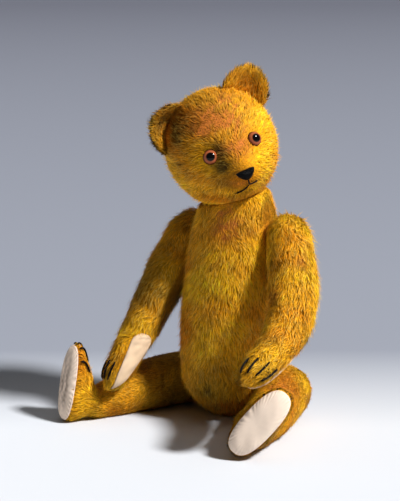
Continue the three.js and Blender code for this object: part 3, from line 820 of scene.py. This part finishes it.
def black_thread():
    """Mercerised cotton thread of two plies: near black, with a slight gloss on their turns."""
    gloss = dict(Specular_IOR_Level=0.07)
    material, tree, shader = new_material("black cotton thread", colour("thread"), 0.3, **gloss)
    ply = {0: (stored(tree, "Ply"), "Fac")}
    turned = add_node(tree, "ShaderNodeMath", ply, {1: 2 * math.pi * 2}, operation="MULTIPLY")
    ridge = add_node(tree, "ShaderNodeMath", {0: (turned, "Value")}, operation="SINE")
    bump(tree, shader, (ridge, "Value"), 0.15, 0.5)
    return material


def eye_glass():
    """Blown glass with its colour fired on behind: glossy and clear-coated, amber round a black pupil."""
    coat = dict(Specular_IOR_Level=0.0, Coat_Weight=0.35, Coat_Roughness=0.06, Coat_IOR=1.52)
    material, tree, shader = new_material("amber eye glass", colour("amber"), 0.5, **coat)
    tree.links.new(stored(tree, "Iris").outputs["Color"], shader.inputs["Base Color"])
    return material


def hardboard():
    """Pressed wood fibre: flat brown, with fibres about 2 mm long."""
    material, tree, shader = new_material("hardboard", colour("hardboard"), 0.8)
    fibre = blotches(tree, 2, 4.0)
    shade = add_node(tree, "ShaderNodeMapRange", {"Value": (fibre, "Fac")}, {"To Min": 0.6, "To Max": 1.4})
    brown = {0: tuple(colour("hardboard"))}
    tone = add_node(tree, "ShaderNodeVectorMath", {"Scale": (shade, "Result")}, brown, operation="SCALE")
    tree.links.new(tone.outputs["Vector"], shader.inputs["Base Color"])
    return material


def dull_steel():
    """Drawn steel wire and stamped steel: grey, dulled by age in blotches of about 1.5 mm."""
    material, tree, shader = new_material("dull steel", colour("steel"), 0.4, Metallic=1.0)
    tarnish = blotches(tree, 1.5, 3.0)
    span = {"To Min": 0.25, "To Max": 0.65}
    rough = add_node(tree, "ShaderNodeMapRange", {"Value": (tarnish, "Fac")}, span)
    tree.links.new(rough.outputs["Result"], shader.inputs["Roughness"])
    return material


# Limbs

class Limb:
    """A limb's stations and how it hangs."""

    def __init__(self, name):
        self.name = name
        self.kind, self.end = name.split("_")
        self.rows = ARM_STATIONS if self.kind == "arm" else LEG_STATIONS
        self.first = self.rows[0][0]
        self.last = self.rows[-1][0]
        for key, value in LIMBS[name].items():
            setattr(self, key, value)
        self.turned = rotation(-self.raised, -self.side * self.lean, self.side * self.turn)

    def row_at(self, along):
        """The station rows at distances along the limb."""
        t = np.linspace(0, 1, 600)
        return stations(self.rows, np.interp(along, stations(self.rows, t)[:, 0], t))

    def size_at(self, along):
        """How far the limb is drawn in: round at the joint, and round or nearly flat at the tip."""
        near_joint = 1 - np.minimum((along - self.first) / JOINT_CAP[self.kind], 1)
        near_tip = 1 - np.minimum((self.last - along) / TIP_CAP[self.kind], 1)
        flat = 1 - (1 - SOLE_EDGE) * near_tip**2
        rounded = np.sqrt(np.maximum(1 - near_tip**2, 0))
        return np.sqrt(np.maximum(1 - near_joint**2, 0)) * (flat if self.kind == "leg" else rounded)

    def points(self, along, angle, size):
        """Ellipses strung along a bent, bowed and twisted line: 90 degrees is the upper, forward edge.

        Towards a sole they are narrowed, and squared off by the squared sine of twice the angle.
        """
        along, angle, size = np.broadcast_arrays(along, angle, size)
        _, across, half_height, half_thickness, outwards = np.moveaxis(self.row_at(along), -1, 0)
        arc = np.sin(np.pi * np.clip(along / self.last, 0, 1))
        twist = math.radians(self.twist) * smooth(along, *TWIST_SPAN)
        foot = smooth(along, *FOOT_SPAN) if self.kind == "leg" else 0
        girth = self.girth * size * (1 + SOLE_SQUARED * foot * np.sin(2 * angle) ** 2)
        up = across - self.bend * arc + half_height * girth * np.sin(angle)
        thickness = half_thickness * girth * (1 - SOLE_NARROWED * foot)
        out = outwards + self.bow * arc + thickness * np.cos(angle)
        x = up * np.sin(twist) + out * np.cos(twist)
        y = up * np.cos(twist) - out * np.sin(twist)
        laid_back = self.toes * up * smooth(along, TOES_FROM, self.last)
        return np.stack([self.side * x, -y, laid_back - along], -1) @ self.turned.T + self.at

    def palm(self):
        """The palm's outline: distances along the paw, its middle angle and half its width in radians."""
        t = eased(PALM_STEPS)[1:-1, None]
        along = PALM_SPAN[0] + (PALM_SPAN[1] - PALM_SPAN[0]) * t
        wrist, tip = PALM_ROUNDED
        rounded = np.sqrt(1 - np.maximum(1 - t / wrist, 0) ** 2)
        rounded = rounded * np.sqrt(1 - np.maximum((t - 1 + tip) / tip, 0) ** 2)
        half = math.radians(self.palm_width) * rounded * (PALM_TAPER[0] - PALM_TAPER[1] * t)
        return along, math.radians(270 - self.palm_roll), half

    def to_palm(self, along, angle):
        """Roughly how far places on the paw are outside the palm's outline, and below 0 inside it."""
        rows, middle, half = self.palm()
        width = np.interp(along, rows[:, 0], half[:, 0], 0, 0)
        turn = np.abs((angle - middle + np.pi) % (2 * np.pi) - np.pi)
        beside = (turn - width) * PALM_RADIUS
        ends = np.maximum(PALM_SPAN[0] - along, along - PALM_SPAN[1])
        return np.where(ends > 0, np.hypot(ends, np.maximum(beside, 0)), beside)

    def claws(self):
        """Paths of the claw stitches on the skin, and the directions away from it."""
        along = np.linspace(*CLAW_ALONG[self.kind], CLAW_STEPS)
        angle = np.radians(self.claw_angles)[:, None]
        surface = self.points(along, angle, self.size_at(along))
        return surface, unit(surface - self.points(along, angle, 0.0))

    def skin(self):
        """Rings pressed flat at the joint and the floor, room to the joint, open skin and distances along."""
        t = eased(SKIN_RINGS + 2)[1:-1] if self.kind == "arm" else eased(SKIN_RINGS + 1)[1:]
        along = stations(self.rows, t)[:, :1]
        points = stuffed(self.points(along, circle(SKIN_SIDES), self.size_at(along)), **LIMB_LUMPS)
        joint = self.joint
        points = above(press(points, *wall(joint, self.side, False)), 0)
        room, open_skin = joint_room(points, joint, self.side, WHOLE_FACE)
        return points, room, open_skin & (points[..., 2] > LIMB_BARE_BELOW), along


def dressed_limb(name):
    """A limb's skin and its pile, lying along the limb, thin where worn and short at its ends and claws."""
    limb = Limb(name)
    seed = limb.seed
    points, room, open_skin, along = limb.skin()
    coat, wear = coat_of(points, LIMB_WORN, limb.dull, seed)
    to_claw = nearest(points, limb.claws()[0].reshape(-1, 3))
    clear = np.exp(-((to_claw / CLAW_CLEARING) ** 2)) * (limb.claw_sunk < CLAW_COVERED)
    if limb.kind == "arm":
        coat = mix(coat, colour("olive"), CLAW_STAIN_SHARE * np.exp(-((to_claw / CLAW_STAIN) ** 2)))
    mohair_skin(name, name, points, coat, wear)
    share = open_skin * (1 - 0.75 * wear) * (1 - 0.7 * clear)
    length = (1 - 0.55 * wear) * growing(0.45, room, 0, 9) * (1 - 0.55 * clear)
    if limb.kind == "leg":
        share = LEG_THICKER * share
        length = LEG_SHORTER * length * growing(0.7, limb.last - along, 0, 14)
    else:
        to_pad = limb.to_palm(along, circle(SKIN_SIDES))
        share = share * (to_pad > PALM_CLEARING)
        length = length * growing(0.45, limb.last - along, -6, 18) * growing(0.4, to_pad, 0, 8)
    nap = np.gradient(points, axis=0)
    walls = [wall(limb.joint, limb.side, False)]
    pile(name, name, points, coat, nap, length, share, seed, walls)


# Head

MUZZLE = unit(np.array(MUZZLE_DIRECTION, float))
HEAD_TURN = rotation(**HEAD_TURNED)


def head_reach(ways):
    """From the head's centre to its skin: an ellipsoid with the muzzle as a smooth rise."""
    rise = MUZZLE_LENGTH * np.exp(-(1 - ways @ MUZZLE) / MUZZLE_SPREAD)
    return 1 / np.linalg.norm(ways / np.array(HEAD_RADII), axis=-1) + rise


def placed_head(points):
    """Points of the head's own frame in the row frame."""
    return points @ HEAD_TURN.T + HEAD_AT


def face_point(x, z, lift=0.0):
    """The point of the face at a place sideways and up, found step by step and lifted off the skin."""
    x, z = np.broadcast_arrays(np.asarray(x, float), np.asarray(z, float))
    y = np.full(x.shape, -float(HEAD_RADII[1]))
    for _ in range(30):
        reach = head_reach(unit(np.stack([x, y, z], -1)))
        y = -np.sqrt(np.maximum(reach**2 - x**2 - z**2, 1))
    point = np.stack([x, y, z], -1)
    return point + np.asarray(lift)[..., None] * unit(point)


def eye_points():
    return face_point((-EYE_AT[0], EYE_AT[0]), EYE_AT[1])


def ear_skin(ear):
    """A ball flattened to a flap, its sides brought forwards by the square of the width, folded at its root.

    Gives its points, how far each is lifted out of the head, its own axes, the depth from -1 at the front,
    and the distance from the middle to the rim, below 0 in the lower part.
    """
    polar = polar_rings(SKIN_RINGS // 2)
    angle = circle(SKIN_SIDES // 2)
    x, y = np.sin(polar) * np.cos(angle), np.sin(polar) * np.sin(angle)
    z = np.broadcast_to(np.cos(polar), x.shape)
    dish = smooth(1 - np.hypot(x, z), 0, 0.6) * (y < 0)
    cupped = EAR_RADII[1] * y * (1 - EAR_DISH * dish) - EAR_CUP * (x**2 + EAR_CUP_TOP * z**2)
    flap = stacked((EAR_RADII[0] - PILE_DEPTH) * x, cupped, (EAR_RADII[2] - PILE_DEPTH) * z)
    lean = math.radians(ear["from_top"])
    out = np.array([ear["side"] * math.sin(lean), 0, math.cos(lean)])
    forwards = np.array([0.0, 1.0, 0.0])
    basis = np.stack([np.cross(forwards, out), forwards, out], -1) @ rotation(x=ear["fold"])
    root = out * head_reach(out)
    root[1] = ear["back"]
    local = ear["size"] * flap @ basis.T + root
    ways = unit(local)
    sunk = np.maximum(head_reach(ways) + 0.2 - np.linalg.norm(local, axis=-1), 0)
    return local + sunk[..., None] * ways, sunk, basis, y, np.hypot(x, z) * np.sign(z + 0.3)


# Operators

class BEAR_OT_torso(bpy.types.Operator):
    """Builds the stuffed torso and its pile, lying downwards"""

    bl_idname = "bear.torso"
    bl_label = "Torso"

    def execute(self, context):
        points, room, open_skin = self.skin()
        coat, wear = coat_of(points, TORSO_WORN, TORSO_DIRT_AND_SHADE, 31)
        mohair_skin("torso", "torso", points, coat, wear)
        share = open_skin * (1 - 0.75 * wear)
        length = (1 - 0.55 * wear) * growing(0.4, room, 0, 10)
        nap = np.broadcast_to([0.0, 0.0, -1.0], points.shape)
        walls = [wall(name, side, True) for name, side, _ in TORSO_JOINTS]
        pile("torso", "torso", points, coat, nap, length, share, 41, walls)
        return {"FINISHED"}

    def skin(self):
        """Ellipses stacked along the height, drawn in to the seat by a quarter-round, flat at the joints.

        Also gives the room to the nearest joint, and False where a joint or the floor covers the skin.
        """
        rows = stations(TORSO_STATIONS, eased(SKIN_RINGS))
        z, half_width, half_depth, centre_x, centre_y = rows.T[..., None]
        short = 1 - np.minimum((z + TORSO_BASE_SUNK) / TORSO_BASE_ROUNDING, 1)
        drawn = np.sqrt(1 - short**2)
        angle = circle(SKIN_SIDES)
        x = centre_x + half_width * drawn * np.cos(angle)
        y = centre_y + half_depth * drawn * np.sin(angle)
        points = above(stuffed(stacked(x, y, z), **TORSO_LUMPS), 0)
        room = np.full(points.shape[:2], FAR)
        open_skin = points[..., 2] > TORSO_BARE_BELOW
        for name, side, covered in TORSO_JOINTS:
            points = press(points, *wall(name, side, True))
            near, uncovered = joint_room(points, name, side, covered)
            room = np.minimum(room, near)
            open_skin = open_skin & uncovered
        return points, room, open_skin


class BEAR_OT_head(bpy.types.Operator):
    """Builds the stuffed head and its pile, running back from the muzzle"""

    bl_idname = "bear.head"
    bl_label = "Head"

    def execute(self, context):
        local, ways = self.skin()
        neck = wall("neck", 0, False)
        points = press(placed_head(local), *neck)
        room, open_skin = joint_room(points, "neck", 0, WHOLE_FACE)
        coat, wear = coat_of(local, HEAD_WORN, HEAD_DIRT_AND_SHADE, 51)
        mohair_skin("head", "head", points, coat, wear)
        to_eye = nearest(local, eye_points())
        to_nose = nearest(local, face_point(*NOSE_CORNERS))
        share = open_skin * (1 - 0.5 * wear) * smooth(to_eye, 5.8, 6.8) * smooth(to_nose, 3.4, 5)
        length = HEAD_SHORTER * (1 - 0.7 * wear) * growing(0.45, room, 0, 9)
        length = length * growing(0.4, to_eye, 6, 13) * growing(0.38, to_nose, 5, 24)
        nap = ways * (ways @ MUZZLE)[..., None] - MUZZLE
        nap = unit(nap) + np.array([0, 0, -0.45]) * smooth(-local[..., 1:2], 0, 30)
        pile("head", "head", points, coat, nap @ HEAD_TURN.T, length, share, 53, [neck])
        return {"FINISHED"}

    def skin(self):
        """Rings of the head in its own frame, dented round the eyes, and their directions from its centre."""
        polar = polar_rings(SKIN_RINGS)
        angle = circle(SKIN_SIDES)
        ways = stacked(np.sin(polar) * np.sin(angle), -np.sin(polar) * np.cos(angle), np.cos(polar))
        local = ways * (head_reach(ways) - PILE_DEPTH)[..., None]
        sockets = np.concatenate([eye_points(), [[SOCKET_RADIUS, 1.0]] * 2], axis=1)
        return local - SOCKET_DEPTH * patches(local, sockets)[..., None] * ways, ways


class BEAR_OT_ears(bpy.types.Operator):
    """Builds both cupped ears and their pile, running from root to rim"""

    bl_idname = "bear.ears"
    bl_label = "Ears"

    def execute(self, context):
        for name, ear in EARS.items():
            local, sunk, basis, depth, to_rim = ear_skin(ear)
            points = placed_head(local)
            inside = smooth(-depth, -0.1, 0.5)
            coat, wear = coat_of(local, HEAD_WORN, HEAD_DIRT_AND_SHADE, ear["seed"])
            # Inside the cup the pile is thinner, and backing and coat go towards bare: that darkening is
            # painted shade in the hollow
            wear = np.clip(wear + 0.2 * inside, 0, 1)
            coat = mix(coat, colour("bare"), 0.15 * inside)
            coat = mix(coat, colour("olive"), 0.35 * smooth(np.abs(to_rim), 0.8, 1))
            mohair_skin(name, "head", points, coat, wear)
            share = EAR_THICKER * (sunk < 0.05) * (1 - 0.4 * wear)
            nap = np.broadcast_to(basis[:, 2] @ HEAD_TURN.T, points.shape)
            length = EAR_SHORTER * (1 - 0.3 * wear) * (1 - 0.2 * smooth(to_rim, 0.6, 1))
            pile(name, "head", points, coat, nap, length, share, ear["seed"])
        return {"FINISHED"}


class BEAR_OT_arms(bpy.types.Operator):
    """Builds both stuffed arms and their pile"""

    bl_idname = "bear.arms"
    bl_label = "Arms"

    def execute(self, context):
        dressed_limb("arm_left")
        dressed_limb("arm_right")
        return {"FINISHED"}


class BEAR_OT_legs(bpy.types.Operator):
    """Builds both stuffed legs and their pile"""

    bl_idname = "bear.legs"
    bl_label = "Legs"

    def execute(self, context):
        dressed_limb("leg_left")
        dressed_limb("leg_right")
        return {"FINISHED"}


class BEAR_OT_paw_pads(bpy.types.Operator):
    """Builds the cotton palms that are sewn into the paws"""

    bl_idname = "bear.paw_pads"
    bl_label = "Paw pads"

    def execute(self, context):
        self.pad(Limb("arm_left"))
        self.pad(Limb("arm_right"))
        return {"FINISHED"}

    def pad(self, limb):
        """A cushion on the paw: an arc of each ellipse, as wide as the palm, raised most in its middle."""
        along, middle, half = limb.palm()
        share = np.linspace(-1, 1, PALM_SIDES)
        flat = limb.points(along, middle + half * share, limb.size_at(along))
        lifts = unit(flat - limb.points(along, middle, 0.0))
        t = np.linspace(0, 1, len(along))[:, None]
        full = np.sqrt(1 - share**2) * np.sqrt(np.sin(np.pi * t))
        creases = np.maximum(waves(flat * np.array([1, 1, 2]), 6, 91), 0) * smooth(-t, -0.6, -0.05)
        outer = flat + (PALM_CUSHION * full - PALM_CREASES * creases * full)[..., None] * lifts
        inner = (flat - (PILE_DEPTH + PALM_SUNK) * lifts)[:, ::-1]
        points = np.concatenate([outer, inner], axis=1)
        soil_and_shade = 0.12 + 0.2 * waves(points, 9, 92) + 0.6 * smooth(t, 0.8, 1)
        cotton_pad(f"paw_pad_{limb.end}", limb.name, points, "palm", soil_and_shade)


class BEAR_OT_soles(bpy.types.Operator):
    """Builds the domed cotton soles, gathered round their edges"""

    bl_idname = "bear.soles"
    bl_label = "Soles"

    def execute(self, context):
        self.sole(Limb("leg_left"))
        self.sole(Limb("leg_right"))
        return {"FINISHED"}

    def sole(self, limb):
        """Ellipses over the foot's end that rise by a quarter sine and shrink by a power of the cosine.

        The left sole is gathered most at its upper edge and nearly clean, the right one all round and dirty.
        """
        angle = circle(SOLE_SIDES)
        t = np.linspace(0, SOLE_LAST, SOLE_RINGS)[:, None]
        size = SOLE_EDGE * np.cos(t * np.pi / 2) ** SOLE_FULLNESS
        flat = limb.points(limb.last, angle, size)
        inwards = 1 - size / SOLE_EDGE
        gathers = np.sin(GATHERS * angle + 3 * np.sin(3 * angle) + 2 * np.sin(7 * angle))
        tight = growing(0.4, np.sin(angle - 1.5), -0.2, 0.9)
        dirt = 0.02
        if limb.side < 0:
            tight = np.maximum(tight, 0.9)
            dirt = 0.08 + 0.42 * smooth(inwards, 0.1, 0.6)
        fold = sizes().pucker / MM * tight * smooth(inwards, 0, 0.05) * np.exp(-inwards / GATHERS_REACH)
        fold = fold * (0.5 + 0.5 * gathers)
        lumps = SOLE_LUMPS * waves(flat * np.array([1, 1, 0.5]), 13, 94) * smooth(inwards, 0, 0.2)
        rise = GAP + SOLE_DOME * np.sin(t * np.pi / 2) - fold + lumps
        outwards = limb.turned @ np.array([0.0, 0.0, -1.0])
        points = above(flat + rise[..., None] * outwards, 0.1)
        streaks = 0.6 * waves(points * np.array([1, 1, 0.35]), 6, 95) + 0.3 * waves(points, 4, 96)
        soil_and_shade = dirt * (1 + 1.3 * streaks) + 0.04 * streaks
        # Painted shade: darker round the sole's edge, where it meets the fur, and in the gathers by their
        # depth
        soil_and_shade = soil_and_shade + 0.35 * (1 - smooth(t, 0, 0.2)) + 0.35 * fold
        cotton_pad(f"foot_pad_{limb.end}", limb.name, points, "cotton", soil_and_shade)


class BEAR_OT_claws(bpy.types.Operator):
    """Sews the black thread claws over the pile of the paws and feet"""

    bl_idname = "bear.claws"
    bl_label = "Claws"

    def execute(self, context):
        radius = sizes().thread_radius / MM
        bulge = CLAW_BULGE * np.sin(np.pi * np.linspace(0, 1, CLAW_STEPS))[:, None]
        for name in LIMBS:
            limb = Limb(name)
            surface, lifts = limb.claws()
            raised = surface + lifts * (radius - limb.claw_sunk + bulge)
            part = "paw" if limb.kind == "arm" else "foot"
            for number in range(len(raised)):
                node = f"claw_{part}_{limb.end}_{number + 1}"
                one = slice(number, number + 1)
                threads(f"{node}_thread", node, name, raised[one], lifts[one], radius)
        return {"FINISHED"}


class BEAR_OT_eyes(bpy.types.Operator):
    """Sets the two amber glass eyes"""

    bl_idname = "bear.eyes"
    bl_label = "Eyes"

    def execute(self, context):
        for name, eye in EYES.items():
            self.eye(name, eye)
        return {"FINISHED"}

    def eye(self, name, eye):
        """A flattened ball set in the face, with a black pupil, a light ring, and painted shade darkening the
        ring towards its edge.
        """
        radius = sizes().eye_radius / MM
        surface = face_point(eye["side"] * EYE_AT[0], EYE_AT[1])
        facing = unit(surface * [eye["sideways"], 1, 1] + [0, 0, EYE_LOOKS_UP])
        across = unit(np.cross([0.0, 0.0, 1.0], facing))
        up = np.cross(facing, across)
        polar = polar_rings(EYE_SIDES)
        angle = circle(EYE_SIDES)
        flat = radius * np.sin(polar)
        ball = stacked(flat * np.cos(angle), flat * np.sin(angle), EYE_DEPTH * radius * np.cos(polar))
        local = (surface - EYE_SUNK * facing) + ball @ np.stack([across, up, facing])
        spread = np.broadcast_to(np.sin(polar) + 2 * (polar > np.pi / 2), local.shape[:2])
        # Painted shade: the ring darkens towards the eye's edge, where it sinks into the socket
        ring = mix(colour("amber") * 1.3, colour("amber") * 0.12, smooth(spread, *RIM_SHADE))
        iris = mix(colour("pupil"), ring, smooth(spread, *PUPIL_EDGE))
        piece = one_skin(f"{name}_glass", placed_head(local), "Iris", iris)
        dress(piece, eye_glass, "head", name)


class BEAR_OT_face_stitching(bpy.types.Operator):
    """Sews the nose in satin stitch and the mouth in single stitches"""

    bl_idname = "bear.face_stitching"
    bl_label = "Nose and mouth"

    def execute(self, context):
        self.nose()
        self.mouth()
        return {"FINISHED"}

    def sew(self, part, paths, radius):
        lifts = unit(paths) @ HEAD_TURN.T
        threads(f"{part}_stitches", f"{part}_stitching", "head", placed_head(paths), lifts, radius)

    def nose(self):
        """Upright threads side by side over a padded triangle with its point down."""
        x = np.linspace(-NOSE["outermost"], NOSE["outermost"], NOSE["threads"])[:, None]
        s = np.linspace(0, 1, 16)
        wide = np.abs(x) / NOSE["edge"]
        top = NOSE["top"] - NOSE["falls"] * wide**3
        bottom = NOSE["bottom"] + NOSE["rises"] * wide**1.8
        z = top + (bottom - top) * s
        lift = NOSE["lift"] + NOSE["padding"] * np.sin(np.pi * s) ** 0.6 * np.sqrt(1 - wide**2)
        self.sew("nose", face_point(x * (1 - NOSE["narrowed"] * s), z, lift), NOSE["radius"])

    def mouth(self):
        """One upright thread from the nose, and one from its foot to each corner of the mouth."""
        radius = MOUTH_THINNER * sizes().thread_radius / MM
        s = np.linspace(0, 1, 18)
        x = [0 * s]
        z = [MOUTH_TOP + (MOUTH_FORK - MOUTH_TOP) * s]
        for corner_x, corner_z, sag in MOUTH_CORNERS:
            x.append(corner_x * s)
            z.append(MOUTH_FORK + (corner_z - MOUTH_FORK) * s - sag * np.sin(np.pi * s))
        self.sew("mouth", face_point(np.stack(x), np.stack(z), radius + MOUTH_LIFT), radius)


class BEAR_OT_joint_hardware(bpy.types.Operator):
    """Gives the discs, washers, pins and eye wires inside the bear their materials"""

    bl_idname = "bear.joint_hardware"
    bl_label = "Joint hardware"

    MATERIALS = {"disc": hardboard, "washer": dull_steel, "cotter": dull_steel, "wire": dull_steel}

    def execute(self, context):
        for name, node in frame["nodes"].items():
            for word, make in self.MATERIALS.items():
                if word in name:
                    node.data.materials.clear()
                    node.data.materials.append(material_named(make))
        return {"FINISHED"}


class BEAR_OT_stage(bpy.types.Operator):
    """Lays the floor and sets the light and the camera"""

    bl_idname = "bear.stage"
    bl_label = "Stage"

    TARGET = (-0.017, -0.020, 0.146)
    AZIMUTH = 32
    ELEVATION = 12.5
    DISTANCE = 1.5
    LENS = 126.8
    SENSOR = 36
    FLOOR_HALF = 12.0
    # Metres behind the bear, and the floor's colour there, greyer behind as painted shade for the light
    # falling off
    FLOOR_STOPS = ((-0.1, "floor_near"), (-0.04, "floor_near"), (0.2, "floor_middle"), (4.4, "floor_far"))
    LIGHTS = (  # name, azimuth, elevation, strength, width across, in degrees and watts per square metre
        ("key", 94, 47, 5.4, 9),
        ("fill", -60, 12, 0.26, 40),
        ("overhead", 170, 70, 0.5, 60),
    )
    WORLD_LIGHT = 0.01

    def execute(self, context):
        scene = context.scene
        scene.view_settings.view_transform = "Standard"
        self.floor(scene)
        self.lights(scene)
        self.world(scene)
        self.camera(scene)
        return {"FINISHED"}

    def direction(self, azimuth, elevation):
        """From the bear towards a place round it."""
        a, e = math.radians(azimuth), math.radians(elevation)
        return Vector((math.sin(a) * math.cos(e), -math.cos(a) * math.cos(e), math.sin(e)))

    def floor(self, scene):
        """One flat square, paler near the bear than behind it: painted shade for the light falling off with
        distance.
        """
        mesh = bpy.data.meshes.new("floor")
        half = self.FLOOR_HALF
        corners = [(-half, -half, 0), (half, -half, 0), (half, half, 0), (-half, half, 0)]
        mesh.from_pydata(corners, [], [(0, 1, 2, 3)])
        floor = bpy.data.objects.new("floor", mesh)
        scene.collection.objects.link(floor)
        material, tree, shader = new_material("pale paper", colour("floor_near"), 0.9, Specular_IOR_Level=0.1)
        place = {0: (add_node(tree, "ShaderNodeTexCoord"), "Object")}
        behind = {1: tuple(-self.direction(self.AZIMUTH, 0))}
        depth = add_node(tree, "ShaderNodeVectorMath", place, behind, operation="DOT_PRODUCT")
        near, far = self.FLOOR_STOPS[0][0], self.FLOOR_STOPS[-1][0]
        span = {"From Min": near, "From Max": far}
        fall = add_node(tree, "ShaderNodeMapRange", {"Value": (depth, "Value")}, span)
        tone = add_node(tree, "ShaderNodeValToRGB", {"Fac": (fall, "Result")})
        stops = tone.color_ramp.elements
        for at, _ in self.FLOOR_STOPS[1:-1]:
            stops.new((at - near) / (far - near))
        for stop, (_, name) in zip(stops, self.FLOOR_STOPS):
            stop.color = (*colour(name), 1)
        tree.links.new(tone.outputs["Color"], shader.inputs["Base Color"])
        mesh.materials.append(material)

    def lights(self, scene):
        """A key from the bear's left, a weak fill from its right and a wide one from above and behind."""
        for name, azimuth, elevation, strength, spread in self.LIGHTS:
            lamp = bpy.data.lights.new(name, "SUN")
            lamp.energy = strength
            lamp.angle = math.radians(spread)
            light = bpy.data.objects.new(name, lamp)
            light.rotation_euler = self.direction(azimuth, elevation).to_track_quat("Z", "Y").to_euler()
            scene.collection.objects.link(light)

    def world(self, scene):
        """Hardly any light, but the far floor's grey to the camera, in reflections and through glass."""
        world = bpy.data.worlds.new("studio")
        world.use_nodes = True
        tree = world.node_tree
        tree.nodes.clear()
        path = add_node(tree, "ShaderNodeLightPath")
        seen = (path, "Is Camera Ray")
        for ray in ("Is Glossy Ray", "Is Transmission Ray"):
            seen = (add_node(tree, "ShaderNodeMath", {0: seen, 1: (path, ray)}, operation="MAXIMUM"), "Value")
        dim = {"Color": (1, 1, 1, 1), "Strength": self.WORLD_LIGHT}
        grey = {"Color": (*colour("floor_far"), 1), "Strength": 1.0}
        light = add_node(tree, "ShaderNodeBackground", None, dim)
        backdrop = add_node(tree, "ShaderNodeBackground", None, grey)
        links = {0: seen, 1: (light, "Background"), 2: (backdrop, "Background")}
        both = add_node(tree, "ShaderNodeMixShader", links)
        add_node(tree, "ShaderNodeOutputWorld", {"Surface": (both, "Shader")})
        scene.world = world

    def camera(self, scene):
        """The photograph's view: the camera's place, aim and lens."""
        lens = bpy.data.cameras.new("camera")
        lens.lens = self.LENS
        lens.sensor_width = self.SENSOR
        back = self.direction(self.AZIMUTH, self.ELEVATION)
        camera = bpy.data.objects.new("camera", lens)
        camera.location = Vector(self.TARGET) + back * self.DISTANCE
        camera.rotation_euler = back.to_track_quat("Z", "Y").to_euler()
        scene.collection.objects.link(camera)
        scene.camera = camera


class BEAR_PT_panel(bpy.types.Panel):
    """Lists the bear's pieces in the 3D view's sidebar"""

    bl_label = "Threadbare Bear"
    bl_idname = "BEAR_PT_panel"
    bl_space_type = "VIEW_3D"
    bl_region_type = "UI"
    bl_category = "Bear"

    def draw(self, context):
        for operator in OPERATORS:
            self.layout.operator(operator.bl_idname)
        for group in (context.scene.bear_sizes, context.scene.bear_colours):
            box = self.layout.box()
            for name in group.__annotations__:
                box.prop(group, name)


OPERATORS = (
    BEAR_OT_torso,
    BEAR_OT_head,
    BEAR_OT_ears,
    BEAR_OT_arms,
    BEAR_OT_legs,
    BEAR_OT_paw_pads,
    BEAR_OT_soles,
    BEAR_OT_claws,
    BEAR_OT_eyes,
    BEAR_OT_face_stitching,
    BEAR_OT_joint_hardware,
    BEAR_OT_stage,
)
CLASSES = (BearSizes, BearColours, *OPERATORS, BEAR_PT_panel)


def register():
    for cls in CLASSES:
        bpy.utils.register_class(cls)
    bpy.types.Scene.bear_sizes = PointerProperty(type=BearSizes)
    bpy.types.Scene.bear_colours = PointerProperty(type=BearColours)


def unregister():
    del bpy.types.Scene.bear_colours
    del bpy.types.Scene.bear_sizes
    for cls in reversed(CLASSES):
        bpy.utils.unregister_class(cls)


def main():
    register()
    bpy.ops.bear.stage()
    bpy.ops.bear.torso()
    bpy.ops.bear.head()
    bpy.ops.bear.ears()
    bpy.ops.bear.arms()
    bpy.ops.bear.legs()
    bpy.ops.bear.paw_pads()
    bpy.ops.bear.soles()
    bpy.ops.bear.claws()
    bpy.ops.bear.eyes()
    bpy.ops.bear.face_stitching()
    bpy.ops.bear.joint_hardware()


if __name__ == "__main__":
    main()
